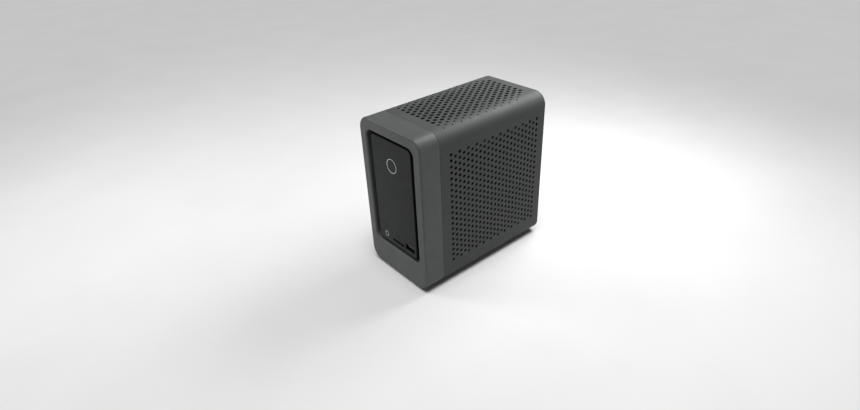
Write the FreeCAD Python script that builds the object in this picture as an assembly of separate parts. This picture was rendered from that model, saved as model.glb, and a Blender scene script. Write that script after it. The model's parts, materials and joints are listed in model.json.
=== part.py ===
import FreeCAD, Part
import math
import os

# A small tower computer: a perforated sleeve, a front bezel with a floating panel, and a tray
# with the main board that draws out to the rear. Millimetres. X is the width, Y the depth with
# the front at -Y, Z is up. The origin is the middle of the footprint, on the ground.

# ---- driving dimensions -------------------------------------------------------------------
BODY_W = 86.0          # width, X
BODY_D = 155.0         # depth, Y
BODY_H = 155.0         # height of the body above its feet
CORNER_R = 12.5        # radius of the four edges that run front to back
FOOT_H = 2.0           # rubber feet under the body
FOOT_R = 6.0
FOOT_PLUG_R = 1.95
FOOT_X = 21.0
FOOT_YS = (-47.0, 66.5)
FOOT_RIM = 0.6         # rounding of the edge on the ground
WALL = 1.0             # sheet of the sleeve
BAND_D = 21.5          # depth of the front bezel
SEAM_GAP = 0.3         # shadow line between bezel and sleeve
TONGUE_L = 4.0         # the bezel reaches this far into the sleeve
TONGUE_T = 1.6
FRONT_FILLET = 1.5     # rounding around the front face

FRONT_Y = -BODY_D / 2
REAR_Y = BODY_D / 2
SEAM_Y = FRONT_Y + BAND_D
BASE_Z = FOOT_H
TOP_Z = BASE_Z + BODY_H
MID_Z = BASE_Z + BODY_H / 2
INSIDE_X = BODY_W / 2 - WALL

# vent grids: columns run across the body, and every second one is shifted by half a pitch
VENT_PITCH_Y = 5.0
VENT_FIRST_Y = FRONT_Y + 34.0
VENT_COLUMNS = 23
TOP_VENT_PITCH = 6.9
TOP_VENT_REACH = 34.6  # from the centre line to the last hole
TOP_VENT_R = 2.15
TOP_VENT_R_EDGE = 0.75
TOP_VENT_FULL_TO = 20.7
TOP_VENT_CORNER = 4.0  # the rear corners of the top grid lose this much reach per column
SIDE_VENT_PITCH = 5.77
SIDE_VENT_REACH = 55.4
SIDE_VENT_R = 1.6
SLOT_COUNT = 12
SLOT_W = 2.4
SLOT_HALF_L = 16.0
SLOT_PITCH = 7.0
SLOT_FIRST_Y = -34.0

# front opening and floating panel
OPENING_W = 66.8
OPENING_TOP_GAP = 10.8  # from the top of the body to the opening
OPENING_H = 116.6
OPENING_R = 7.0
OPENING_RIM = 1.6      # rounding of the opening's front edge
COLLAR_WALL = 2.0
COLLAR_D = 10.0
COLLAR_INSET = 1.0     # the collar and its bosses start this far behind the front face
PANEL_W = 57.0
PANEL_GAP_Z = 3.1
PANEL_R = 4.0
PANEL_RECESS = 1.5
PANEL_T = 2.0
PANEL_SOFT = 0.5       # rounding of its front edge
BEZEL_WALL = 2.2

OPENING_TOP = TOP_Z - OPENING_TOP_GAP
OPENING_BOTTOM = OPENING_TOP - OPENING_H
PANEL_TOP = OPENING_TOP - PANEL_GAP_Z
PANEL_BOTTOM = OPENING_BOTTOM + PANEL_GAP_Z
PANEL_FACE_Y = FRONT_Y + PANEL_RECESS
PANEL_BACK_Y = PANEL_FACE_Y + PANEL_T
CARRIER_Y = FRONT_Y + COLLAR_D
CARRIER_T = 2.0
CARRIER_BACK_Y = CARRIER_Y + CARRIER_T
CARRIER_HALF_W = 38.0
CARRIER_R = 8.0
CARRIER_BOTTOM = BASE_Z + 6.0
CARRIER_TOP = TOP_Z - 2.6
WINDOW_HALF_W = 31.0   # the carrier's opening for the front ports
WINDOW_H = 10.6
BREATHER_XS = (-31.0, 31.0)
BREATHER_ZS = (62.0, 88.0, 114.0)
BREATHER_W = 3.0
BREATHER_L = 22.0
SHELF_XS = (-30.0, 23.0)
SHELF_W = 7.0
SHELF_T = 2.0
BOSS_X = 24.0
BOSS_ZS = (BASE_Z + 17.0, TOP_Z - 4.6)
BOSS_R = 3.5
PILOT_L = 7.0
POST_X = 21.0
POST_ZS = (PANEL_BOTTOM + 25.0, PANEL_TOP - 8.0)
POST_R = 2.5

# power button, its light ring and switch
BUTTON_Z = TOP_Z - 37.5
BUTTON_R = 6.32
RING_IN_R = 6.4
RING_OUT_R = 6.9
RING_PROUD = 0.05      # how far ring and jack stand out of the panel
RING_BODY_R = 8.4
RING_CHAMBER_R = 7.05
FLANGE_R = 6.8
FLANGE_T = 0.45
RING_STEP_D = 0.55     # from the panel's back to the ring's inner step
RING_BOARD_GAP = 0.5   # between the ring's end and the button's board
BUTTON_SOFT = 0.3
PLUNGER_R = 1.7
BUTTON_BOARD_HALF_W = 13.0
BUTTON_BOARD_HALF_H = 10.0
BUTTON_BOARD_R = 1.5
BUTTON_TRAVEL = 0.8
BUTTON_SCREW_XS = (-10.6, 10.6)
SWITCH_GAP = 0.1       # left between button and switch at full travel

# front ports
BOARD_T = 1.6
IO_BOARD_TOP = 37.0
IO_BOARD_BOTTOM = IO_BOARD_TOP - BOARD_T
IO_BOARD_HALF_W = 30.0
IO_BOARD_YS = (FRONT_Y + 6.0, FRONT_Y + 25.5)
PORT_SETBACK = 0.5     # front ports start this far behind the panel
IO_SCREW_XS = (-26.5, 26.5)
IO_SCREW_Y = CARRIER_Y + 11.0
JACK_X = -17.0
JACK_Z = IO_BOARD_TOP + 3.3
JACK_BORE_R = 1.8
JACK_BORE_L = 14.2
JACK_NOSE_R = 3.0
JACK_HALF_W = 3.5
JACK_L = 12.5
JACK_H = 6.4
CARD_X = 1.1
CARD_Z = IO_BOARD_TOP + 1.2
CARD_WINDOW = (8.5, 1.2)        # half width, half height of the slot in the panel
CARD_READER = (7.2, 15.0, 2.1)  # half width, depth, height
CARD_SLOT = (5.7, 0.5)          # half width, half height
FRONT_USB_X = 18.8
FRONT_USB_Z = IO_BOARD_TOP + 3.2
FRONT_USB_WINDOW = (6.9, 3.2)
FRONT_USB_SOFT = 0.6
FRONT_USB_INSET = 0.6  # its mouth lies this far behind the panel's face
STATUS_X = 16.5
STATUS_Z = TOP_Z - 110.5
STATUS_R = 1.0
STATUS_INSET = 0.1
STATUS_LIP = 0.5

# tray and what it carries
TRAY_X = -31.0         # face towards the drive
TRAY_T = 1.0
TRAY_FRONT_Y = -50.0
TRAY_BOTTOM = 5.5
TRAY_TOP = 133.5
TRAY_FLANGE_W = 8.0    # the flange that carries the rear panel
TRAY_FLANGE_ZS = (14.0, 126.0)
TRAY_WINDOW_YS = (-14.0, 36.0)
TRAY_WINDOW_ZS = (50.0, 82.0)
TRAY_WINDOW_H = 18.0
TRAY_WINDOW_R = 3.0
STANDOFF_H = 6.0
STANDOFF_W = 5.0       # across flats
STANDOFF_POINTS = ((-44.0, 13.5), (50.0, 13.5), (50.0, 126.0), (-11.0, 126.0))
BOARD_X = TRAY_X + TRAY_T + STANDOFF_H
BOARD_FACE_X = BOARD_X + BOARD_T
BOARD_FRONT_Y = -48.0
BOARD_REAR_Y = 73.2
BOARD_BOTTOM = 8.5
BOARD_TOP = 131.5
REAR_PANEL_Y = 75.0
REAR_PANEL_T = 1.2
REAR_SEAT_Y = REAR_PANEL_Y + REAR_PANEL_T
REAR_PANEL_GAP = 0.3   # between the rear panel and the sleeve
PORT_RIM = 0.3         # between a rear port and its window
REAR_VENT_W = 4.2      # hexagonal cells across flats
REAR_VENT_PITCH = 5.4
REAR_VENT_COLUMNS = 7
REAR_VENT_ROWS = 20
REAR_VENT_X = 2.0
REAR_VENT_Z = 26.0
PORT_MOUTH_Y = REAR_SEAT_Y + 0.4
FLANGE_SCREW_X = TRAY_X - 4.0
FLANGE_SCREW_ZS = (24.0, 70.0, 116.0)
LUG_X = 25.0
LUG_D = 9.0
LUG_HALF = 5.0
LUG_ZS = (BASE_Z + WALL + LUG_HALF, TOP_Z - WALL - LUG_HALF)

# processor cooler
COOLER_Y = 21.0
COOLER_Z = MID_Z
SOCKET_T = 3.0
CHIP_T = 1.9
CHIP_HALF = 18.75
SINK_X = BOARD_FACE_X + SOCKET_T + CHIP_T
SINK_BASE_T = 4.0
SINK_FIN_H = 28.0
SINK_FINS = 23
SINK_FIN_T = 0.9
SINK_SIZE_Y = 66.0
SINK_SIZE_Z = 70.0
SINK_TOP_X = SINK_X + SINK_BASE_T + SINK_FIN_H
COOLER_SCREW_HALF = 28.0

# fans
FAN_SIZE = 70.0
FAN_T = 15.0
FAN_FLANGE_T = 3.5
FAN_BORE_R = 33.0
FAN_HOLE_PITCH = 60.0
FAN_HOLE_R = 1.9
FAN_BLADES = 9
SHAFT_R = 1.5
BEARING_R = 2.6
HUB_R = 15.0
CUP_R = 13.2
STRUT_T = 2.2
STRUT_HALF_W = 1.2
FAN_CORNER_R = 4.0
FAN_EAR = 7.0          # the corner posts between the two flanges
FAN_BORE_WALL = 1.5
MOTOR_R = 11.5
MOTOR_H = 7.3
BEARING_Z = 0.8        # the bearing's pocket starts here
BEARING_L = 8.7
BLADE_T = 1.0
BLADE_Z = 8.0
BLADE_ROOT = (14.0, 6.2, 38.0)  # distance from the axis, half chord, pitch in degrees
BLADE_TIP = (31.0, 8.0, 26.0)
CUP_Z = 2.8
LID_Z = 11.5
LID_T = 1.7
LID_SOFT = 0.8
SHAFT_Z = 1.4
FAN_Y = 12.0           # centre of the exhaust fan
BRACKET_Z = 137.5
BRACKET_HALF_L = 37.0
BRACKET_FLANGE_H = 8.0
SHEET_T = 1.0

# dust filter behind the side vents
FILTER_X = INSIDE_X - SHEET_T - 0.2
FILTER_T = 1.2
FILTER_MESH_T = 0.4
FILTER_BORDER = 3.0
FILTER_YS = (-51.0, 73.0)
FILTER_ZS = (20.5, 137.2)

# cards, drive and small board parts
MEMORY_Z0 = 39.5
MEMORY_Z1 = 107.1
MEMORY_SLOTS = ((-24.0, 3.0), (-17.6, 7.2))   # rear side of each module, its height over the board
MEMORY_CARD_W = 26.0
MEMORY_CARD_T = 1.2
MEMORY_SOCKET_D = 4.8
MEMORY_SOCKET_RIM = 1.8
MEMORY_GROOVE_D = 3.2  # how far a card goes into its socket
MEMORY_CHIPS = 4
MEMORY_CHIP_L = 13.0
MEMORY_CHIP_W = 11.0
MEMORY_CHIP_T = 0.9
MEMORY_CHIP_PITCH = 16.0
SSD_Y = -40.0
SSD_Z = 27.0
SSD_LIFT = 2.4
SSD_L = 82.5
SSD_HALF_W = 11.0
SSD_SOCKET_Y = SSD_Y + 79.0
SSD_SOCKET_D = 6.0
SSD_SOCKET_H = 4.2
SSD_CHIPS = 3
SSD_CHIP_L = 16.0
SSD_CHIP_HALF_W = 7.0
SSD_CHIP_T = 1.2
SSD_CHIP_PITCH = 22.0
CARD_T = 0.8
WIFI_LIFT = 1.6
DRIVE_Y = -42.0
DRIVE_Z = 42.0
DRIVE_T = 7.0
DRIVE_L = 100.0
DRIVE_W = 69.85
DRIVE_HOLE_YS = (DRIVE_Y + 14.0, DRIVE_Y + 90.6)
DRIVE_HOLE_ZS = (DRIVE_Z + 4.1, DRIVE_Z + 65.8)
CAN_R = 2.5
CAN_H = 4.6
CAN_POINTS = ((44.6, 111.5), (44.6, 119.0),
              (47.0, 41.3), (37.0, 41.3), (27.0, 41.3), (17.0, 41.3), (7.0, 41.3))
CHOKE_W = 7.0
CHOKE_H = 5.0
CHOKE_Z = 117.5
CHOKE_YS = (-2.0, 7.0, 16.0, 25.0, 34.0)
WIFI_CARD = (-46.0, -16.0, 108.8, 130.8)
WIFI_SHIELD = (-42.0, -22.0, 111.0, 128.5)
WIFI_SHIELD_T = 1.4
WIFI_SOCKET = (-20.0, -16.0, 109.0, 130.6)
CELL_POINT = (20.0, 24.0)
CELL_R = 10.5
CELL_T = 4.5
CELL_SOFT = 0.7

# rear ports: height of each one's centre
POWER_Z = 120.0
HDMI_Z = 103.4
DISPLAY_Z = 84.2
USB_C_Z = 68.0
LAN_Z = 51.8
USB_STACK_ZS = (33.6, 16.8)

# fasteners
M2_R = 1.0
M3_R = 1.5
M4_R = 2.0
TAP_PLAY = 0.05        # between a smooth shank and the hole that stands for its thread
PRESS_PLAY = 0.02      # between a stud or a tight thread and its hole
SLIDE_PLAY = 0.05      # between a piece that slides or turns and its seat
BOARD_PLAY = 0.2       # between a shank and a hole with room to align a board or plate
HOLE_PLAY = 0.1        # between a shank and a hole it passes through
VESA_PITCH = 75.0
INSERT_R = 3.6
INSERT_BARREL_R = 2.75
INSERT_L = 4.6
KNOB_R = 3.6
KNOB_NOTCHES = 18

# screws: length of the thread, radius of the head, height of the head
CARRIER_SCREW = (7.5, 1.9, 1.3)
PANEL_SCREW = (6.0, 1.9, 1.3)
SHELF_SCREW = (3.4, 1.9, 1.3)
BUTTON_SCREW = (3.2, 1.7, 1.2)
EXHAUST_SCREW = (17.0, 2.6, 0.7)
COOLER_FAN_SCREW = (20.0, 2.7, 1.8)
COOLER_SCREW = (BOARD_T + SOCKET_T + CHIP_T + SINK_BASE_T + 1.5, 2.9, 2.0)
REAR_SCREW = (4.0, 2.6, 0.9)
BOARD_SCREW = (5.5, 2.75, 1.6)
DRIVE_SCREW = (3.5, 2.6, 1.4)

# connectors: width, height, depth and wall, then centre height, width and thickness of each tongue
FRONT_USB = (13.2, 5.9, 14.0, 0.35, [(3.6, 11.0, 1.8)])
HDMI = (15.4, 6.2, 12.0, 0.4, [(2.6, 11.4, 1.4)])
DISPLAY = (17.2, 6.6, 14.0, 0.5, [(2.9, 12.4, 1.6)])
USB_STACK = (14.2, 15.8, 17.0, 0.4, [(4.6, 11.6, 1.9), (12.4, 11.6, 1.9)])
POWER_W, POWER_H, POWER_L = 12.0, 6.4, 14.0
USB_C_W, USB_C_H, USB_C_L = 9.4, 3.4, 9.0
LAN_W, LAN_H, LAN_L = 16.4, 13.4, 19.0

TINY = 1e-6
V = FreeCAD.Vector
AXES = {"x": V(1, 0, 0), "y": V(0, 1, 0), "z": V(0, 0, 1)}


# ---- helpers ------------------------------------------------------------------------------
def box(x0, x1, y0, y1, z0, z1):
    """A block between two corners."""
    return Part.makeBox(x1 - x0, y1 - y0, z1 - z0, V(x0, y0, z0))


def rod(axis, start, radius, length):
    """A cylinder from a start point along +X, +Y or +Z."""
    return Part.makeCylinder(radius, length, V(*start), AXES[axis])


def tube(axis, start, outer_r, inner_r, length):
    return rod(axis, start, outer_r, length).cut(rod(axis, start, inner_r, length))


def edges_along(shape, axis):
    """Straight edges of a shape that run along an axis."""
    found = []
    for edge in shape.Edges:
        ends = [v.Point for v in edge.Vertexes]
        if len(ends) == 2:
            span = ends[1] - ends[0]
            if span.Length > 0 and abs(abs(span.dot(AXES[axis])) - span.Length) < TINY:
                found.append(edge)
    return found


def edges_at_y(shape, y):
    """Edges that lie in the plane at depth y."""
    return [e for e in shape.Edges if abs(e.BoundBox.YMin - y) < TINY and abs(e.BoundBox.YMax - y) < TINY]


def soft_box(axis, radius, *corners):
    """A block whose edges along one axis are rounded."""
    block = box(*corners)
    return block.makeFillet(radius, edges_along(block, axis))


def body_bar(inset, y0, y1):
    """The body's rounded cross-section, drawn in by inset, between two depths."""
    half_w = BODY_W / 2 - inset
    return soft_box("y", CORNER_R - inset, -half_w, half_w, y0, y1, BASE_Z + inset, TOP_Z - inset)


def join(shapes):
    shapes = list(shapes)
    return shapes[0].fuse(shapes[1:]).removeSplitter() if len(shapes) > 1 else shapes[0]


def group(shapes):
    """Separate solids that share one node."""
    return Part.makeCompound(list(shapes))


def cut_all(shape, tools):
    return shape.cut(Part.makeCompound(list(tools)))


def hex_prism(axis, centre, across_flats, length):
    """A hexagonal prism that starts at a centre point and runs along an axis."""
    corner_r = across_flats / math.sqrt(3)
    first, second = {"x": ("y", "z"), "y": ("z", "x"), "z": ("x", "y")}[axis]
    points = []
    for k in range(7):
        angle = math.radians(60 * k + 30)
        step = AXES[first] * math.cos(angle) + AXES[second] * math.sin(angle)
        points.append(V(*centre) + step * corner_r)
    face = Part.Face(Part.makePolygon(points))
    return face.extrude(AXES[axis] * length)


def screw(axis, sign, seat, thread_r, length, head_r, head_h):
    """A socket-head screw. Its head stands on the seat and its thread runs along sign * axis."""
    way = AXES[axis] * sign
    seat = V(*seat)
    shank = Part.makeCylinder(thread_r, length, seat, way)
    head = Part.makeCylinder(head_r, head_h, seat, way * -1)
    head_edges = [e for e in head.Edges if abs((e.CenterOfMass - seat).dot(way) + head_h) < TINY]
    head = head.makeFillet(min(0.3, head_h / 3), head_edges)
    socket_depth = head_h * 0.6
    socket_start = seat - way * head_h
    if sign < 0:
        socket_start = socket_start + way * socket_depth
    socket = hex_prism(axis, socket_start, head_r, socket_depth)
    return join([shank, head]).cut(socket)


def metal_port(width, height, depth, wall, tongues):
    """A connector: a folded metal shell, open at the front, with plastic tongues inside.

    The mouth is at y = 0 and looks towards -Y. The shell stands on z = 0, centred on x = 0.
    Each tongue is (centre height, width, thickness).
    """
    back_wall = 1.5
    tongue_y = 1.2
    shell = soft_box("y", 0.5, -width / 2, width / 2, 0, depth, 0, height)
    hollow = box(-width / 2 + wall, width / 2 - wall, 0, depth - back_wall, wall, height - wall)
    pieces = [shell.cut(hollow)]
    for centre, tongue_w, tongue_t in tongues:
        low = centre - tongue_t / 2
        pieces.append(box(-tongue_w / 2, tongue_w / 2, tongue_y, depth - back_wall / 2, low, low + tongue_t))
    return join(pieces)


def on_rear_edge(port, z):
    """Turns a port so that it stands on the main board and looks out of the back at height z."""
    turned = port.copy()
    turned.Placement = FreeCAD.Placement(
        FreeCAD.Matrix(0, 0, 1, BOARD_FACE_X, 0, -1, 0, PORT_MOUTH_Y, 1, 0, 0, z, 0, 0, 0, 1)
    )
    return turned


def save(name, shape):
    shape.exportStep("parts/" + name + ".step")


# ---- vents --------------------------------------------------------------------------------
def top_vent_radius(x):
    """Holes are full size along the middle and shrink towards the long edges."""
    fade = (abs(x) - TOP_VENT_FULL_TO) / (TOP_VENT_REACH - TOP_VENT_FULL_TO)
    fade = min(max(fade, 0.0), 1.0)
    return TOP_VENT_R + (TOP_VENT_R_EDGE - TOP_VENT_R) * fade


def top_vent_reach(column):
    """How far from the centre line a column of the top grid goes. The rear corners are cut off."""
    columns_behind = VENT_COLUMNS - 1 - column
    return min(TOP_VENT_REACH, TOP_VENT_FULL_TO + 0.5 + TOP_VENT_CORNER * columns_behind)


def staggered(pitch, reach, on_centre):
    """Positions along a column, symmetric about 0, with one at 0 or two half a pitch from it."""
    value = 0.0 if on_centre else pitch / 2
    positions = []
    while value <= reach:
        positions.append(value)
        if value > 0:
            positions.append(-value)
        value += pitch
    return sorted(positions)


def top_vents():
    """Round holes through the top, deep enough to pierce the rounded edges too."""
    holes = []
    for column in range(VENT_COLUMNS):
        y = VENT_FIRST_Y + column * VENT_PITCH_Y
        for x in staggered(TOP_VENT_PITCH, top_vent_reach(column), column % 2 == 0):
            holes.append(rod("z", (x, y, TOP_Z - CORNER_R / 2), top_vent_radius(x), CORNER_R))
    return holes


def side_vents():
    holes = []
    for column in range(VENT_COLUMNS):
        y = VENT_FIRST_Y + column * VENT_PITCH_Y
        for dz in staggered(SIDE_VENT_PITCH, SIDE_VENT_REACH, column % 2 == 1):
            holes.append(rod("x", (INSIDE_X, y, MID_Z + dz), SIDE_VENT_R, WALL))
    return holes


def bottom_slots():
    """Intake slots across the underside, between the feet."""
    slots = []
    for k in range(SLOT_COUNT):
        y = SLOT_FIRST_Y + k * SLOT_PITCH
        slots.append(soft_box("z", SLOT_W / 2 - 0.01, -SLOT_HALF_L, SLOT_HALF_L, y, y + SLOT_W,
                              BASE_Z, BASE_Z + WALL))
    return slots


def vesa_points():
    half = VESA_PITCH / 2
    return [(y, MID_Z + dz) for y in (-half, half) for dz in (-half, half)]


def foot_points():
    return [(x, y) for x in (-FOOT_X, FOOT_X) for y in FOOT_YS]


# ---- outside of the case ------------------------------------------------------------------
def outer_shell():
    """The sleeve: one rounded sheet-metal tube, perforated on top and on the +X side."""
    start = SEAM_Y + SEAM_GAP / 2
    sleeve = body_bar(0, start, REAR_Y).cut(body_bar(WALL, start, REAR_Y))
    sleeve = cut_all(sleeve, top_vents())
    sleeve = cut_all(sleeve, side_vents())
    wall_cuts = bottom_slots()
    wall_cuts += [rod("x", (-BODY_W / 2, y, z), INSERT_BARREL_R + TAP_PLAY, WALL) for y, z in vesa_points()]
    wall_cuts += [rod("z", (x, y, BASE_Z), FOOT_PLUG_R + TAP_PLAY, WALL) for x, y in foot_points()]
    return cut_all(sleeve, wall_cuts)


def front_bezel():
    """A cap with a deep rectangular collar. A tongue at the back nests in the sleeve."""
    back = SEAM_Y - SEAM_GAP / 2
    outside = body_bar(0, FRONT_Y, back)
    outside = outside.makeFillet(FRONT_FILLET, edges_at_y(outside, FRONT_Y))
    cap = outside.cut(body_bar(BEZEL_WALL, FRONT_Y + BEZEL_WALL, back))
    tongue = body_bar(WALL + HOLE_PLAY, back - TONGUE_L, SEAM_Y + TONGUE_L)
    tongue = tongue.cut(body_bar(WALL + HOLE_PLAY + TONGUE_T, back - TONGUE_L, SEAM_Y + TONGUE_L))
    half = OPENING_W / 2
    grow = COLLAR_WALL
    start = FRONT_Y + COLLAR_INSET
    collar = soft_box("y", OPENING_R + grow, -half - grow, half + grow,
                      start, CARRIER_Y, OPENING_BOTTOM - grow, OPENING_TOP + grow)
    bosses = [rod("y", (x, start, z), BOSS_R, CARRIER_Y - start) for x, z in boss_points()]
    cap = join([cap, tongue, collar] + bosses)
    opening = soft_box("y", OPENING_R, -half, half, FRONT_Y, CARRIER_Y, OPENING_BOTTOM, OPENING_TOP)
    pilots = [rod("y", (x, CARRIER_Y - PILOT_L, z), M2_R + TAP_PLAY, PILOT_L) for x, z in boss_points()]
    cap = cut_all(cap, [opening] + pilots)
    rim = []
    for edge in edges_at_y(cap, FRONT_Y):
        middle = edge.CenterOfMass
        if abs(middle.x) <= half + TINY and OPENING_BOTTOM - TINY <= middle.z <= OPENING_TOP + TINY:
            rim.append(edge)
    return cap.makeFillet(OPENING_RIM, rim)


def boss_points():
    """Where the carrier is screwed to the bezel, two above and two below the opening."""
    return [(x, z) for x in (-BOSS_X, BOSS_X) for z in BOSS_ZS]


def post_points():
    """Where the floating panel stands on the carrier."""
    return [(x, z) for x in (-POST_X, POST_X) for z in POST_ZS]


def rubber_feet():
    feet = []
    for x, y in foot_points():
        pad = rod("z", (x, y, 0), FOOT_R, FOOT_H)
        ground_rim = [e for e in pad.Edges if abs(e.CenterOfMass.z) < TINY]
        pad = pad.makeFillet(FOOT_RIM, ground_rim)
        plug = rod("z", (x, y, FOOT_H), FOOT_PLUG_R, WALL)
        feet.append(join([pad, plug]))
    return group(feet)


def vesa_inserts():
    """Threaded M4 inserts behind the plain side, on a 75 mm square."""
    inserts = []
    for y, z in vesa_points():
        flange = rod("x", (-INSIDE_X, y, z), INSERT_R, 1.2)
        barrel = rod("x", (-BODY_W / 2, y, z), INSERT_BARREL_R, INSERT_L)
        hole = rod("x", (-BODY_W / 2, y, z), M4_R, INSERT_L)
        inserts.append(join([flange, barrel]).cut(hole))
    return group(inserts)


def side_filter():
    """A fine mesh sheet in a moulded border with two ribs, clipped behind the side vents."""
    y0, y1 = FILTER_YS
    z0, z1 = FILTER_ZS
    border = box(FILTER_X - FILTER_T, FILTER_X, y0, y1, z0, z1)
    pane_w = (y1 - y0 - 4 * FILTER_BORDER) / 3
    panes = []
    for k in range(3):
        low = y0 + FILTER_BORDER + k * (pane_w + FILTER_BORDER)
        panes.append(soft_box("x", FILTER_BORDER, FILTER_X - FILTER_T, FILTER_X - FILTER_MESH_T,
                              low, low + pane_w, z0 + FILTER_BORDER, z1 - FILTER_BORDER))
    return cut_all(border, panes)


# ---- front assembly -----------------------------------------------------------------------
def front_carrier():
    """The black frame behind the bezel: it closes the collar and holds panel and boards."""
    plate = soft_box("y", CARRIER_R, -CARRIER_HALF_W, CARRIER_HALF_W, CARRIER_Y, CARRIER_BACK_Y,
                     CARRIER_BOTTOM, CARRIER_TOP)
    shelf_z = IO_BOARD_BOTTOM - SHELF_T
    shelf_root = CARRIER_BACK_Y - CARRIER_T / 4
    shelves = [box(x, x + SHELF_W, shelf_root, IO_SCREW_Y + 2 * SHELF_T, shelf_z, IO_BOARD_BOTTOM)
               for x in SHELF_XS]
    frame = join([plate] + shelves)
    window = soft_box("y", 1.0, -WINDOW_HALF_W, WINDOW_HALF_W, CARRIER_Y, CARRIER_BACK_Y,
                      IO_BOARD_BOTTOM, IO_BOARD_BOTTOM + WINDOW_H)
    half = BREATHER_W / 2
    slots = []
    for middle in BREATHER_XS:
        for low in BREATHER_ZS:
            slots.append(soft_box("y", half - HOLE_PLAY, middle - half, middle + half,
                                  CARRIER_Y, CARRIER_BACK_Y, low, low + BREATHER_L))
    holes = [rod("y", (x, CARRIER_Y, z), M2_R + HOLE_PLAY, CARRIER_T) for x, z in boss_points()]
    holes += [rod("y", (x, CARRIER_Y, z), M2_R + HOLE_PLAY, CARRIER_T) for x, z in post_points()]
    holes += [rod("z", (x, IO_SCREW_Y, shelf_z), M2_R + TAP_PLAY, SHELF_T) for x in IO_SCREW_XS]
    holes += [rod("y", (x, CARRIER_Y, BUTTON_Z), M2_R + TAP_PLAY, CARRIER_T) for x in BUTTON_SCREW_XS]
    return cut_all(frame, [window] + slots + holes)


def panel_window(x, z, half_w, half_h, radius):
    """A rounded window cut through the floating panel."""
    return soft_box("y", radius, x - half_w, x + half_w, PANEL_FACE_Y, PANEL_BACK_Y, z - half_h, z + half_h)


def front_panel():
    """The floating plate, on four posts, with openings for the button, the light and the ports."""
    half = PANEL_W / 2
    face = PANEL_FACE_Y
    plate = soft_box("y", PANEL_R, -half, half, face, PANEL_BACK_Y, PANEL_BOTTOM, PANEL_TOP)
    plate = plate.makeFillet(PANEL_SOFT, edges_at_y(plate, face))
    root = PANEL_BACK_Y - PANEL_T / 4
    posts = [rod("y", (x, root, z), POST_R, CARRIER_Y - root) for x, z in post_points()]
    openings = [
        rod("y", (0, face, BUTTON_Z), RING_OUT_R + SLIDE_PLAY, PANEL_T),
        rod("y", (JACK_X, face, JACK_Z), JACK_NOSE_R + HOLE_PLAY, PANEL_T),
        rod("y", (STATUS_X, face, STATUS_Z), STATUS_R + SLIDE_PLAY, PANEL_T),
        panel_window(CARD_X, CARD_Z, *CARD_WINDOW, CARD_WINDOW[1] - HOLE_PLAY),
        panel_window(FRONT_USB_X, FRONT_USB_Z, *FRONT_USB_WINDOW, FRONT_USB_SOFT),
    ]
    pilot = 5.0
    openings += [rod("y", (x, CARRIER_Y - pilot, z), M2_R + TAP_PLAY, pilot) for x, z in post_points()]
    return cut_all(join([plate] + posts), openings)


def ring_y():
    """Front face, step and back end of the light ring."""
    return PANEL_FACE_Y - RING_PROUD, PANEL_BACK_Y + RING_STEP_D, CARRIER_Y - BOARD_T - RING_BOARD_GAP


def button_light_ring():
    front, step, back = ring_y()
    nose = rod("y", (0, front, BUTTON_Z), RING_OUT_R, PANEL_BACK_Y - front)
    body = rod("y", (0, PANEL_BACK_Y, BUTTON_Z), RING_BODY_R, back - PANEL_BACK_Y)
    bore = rod("y", (0, front, BUTTON_Z), RING_IN_R, step - front)
    chamber = rod("y", (0, step, BUTTON_Z), RING_CHAMBER_R, back - step)
    return cut_all(join([nose, body]), [bore, chamber])


def power_button():
    """A flat disc inside the ring, held in by a flange behind the ring's step."""
    _, step, _ = ring_y()
    flange_y = step + SLIDE_PLAY
    disc = rod("y", (0, PANEL_FACE_Y, BUTTON_Z), BUTTON_R, flange_y - PANEL_FACE_Y)
    disc = disc.makeFillet(BUTTON_SOFT, edges_at_y(disc, PANEL_FACE_Y))
    flange = rod("y", (0, flange_y, BUTTON_Z), FLANGE_R, FLANGE_T)
    return join([disc, flange])


def button_switch():
    """A push switch. Its plunger stops short of the button by the travel and a small gap."""
    _, step, _ = ring_y()
    button_back = step + SLIDE_PLAY + FLANGE_T
    plunger_y = button_back + BUTTON_TRAVEL + SWITCH_GAP
    plunger_l = 0.8
    half = 3.0
    body = soft_box("y", 0.5, -half, half, plunger_y + plunger_l, CARRIER_Y - BOARD_T,
                    BUTTON_Z - half, BUTTON_Z + half)
    plunger = rod("y", (0, plunger_y, BUTTON_Z), PLUNGER_R, plunger_l)
    return join([body, plunger])


def button_board():
    y0 = CARRIER_Y - BOARD_T
    half_w, half_h = BUTTON_BOARD_HALF_W, BUTTON_BOARD_HALF_H
    board = soft_box("y", BUTTON_BOARD_R, -half_w, half_w, y0, CARRIER_Y,
                     BUTTON_Z - half_h, BUTTON_Z + half_h)
    return cut_all(board, [rod("y", (x, y0, BUTTON_Z), M2_R + HOLE_PLAY, BOARD_T) for x in BUTTON_SCREW_XS])


def front_io_board():
    board = soft_box("z", 1.0, -IO_BOARD_HALF_W, IO_BOARD_HALF_W, *IO_BOARD_YS, IO_BOARD_BOTTOM, IO_BOARD_TOP)
    holes = [rod("z", (x, IO_SCREW_Y, IO_BOARD_BOTTOM), M2_R + HOLE_PLAY, BOARD_T) for x in IO_SCREW_XS]
    return cut_all(board, holes)


def audio_jack():
    nose_y = PANEL_FACE_Y - RING_PROUD
    body_y = PANEL_BACK_Y + PORT_SETBACK
    body = soft_box("y", 0.6, JACK_X - JACK_HALF_W, JACK_X + JACK_HALF_W, body_y, body_y + JACK_L,
                    IO_BOARD_TOP, IO_BOARD_TOP + JACK_H)
    nose = rod("y", (JACK_X, nose_y, JACK_Z), JACK_NOSE_R, body_y - nose_y + PORT_SETBACK)
    return join([body, nose]).cut(rod("y", (JACK_X, nose_y, JACK_Z), JACK_BORE_R, JACK_BORE_L))


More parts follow.
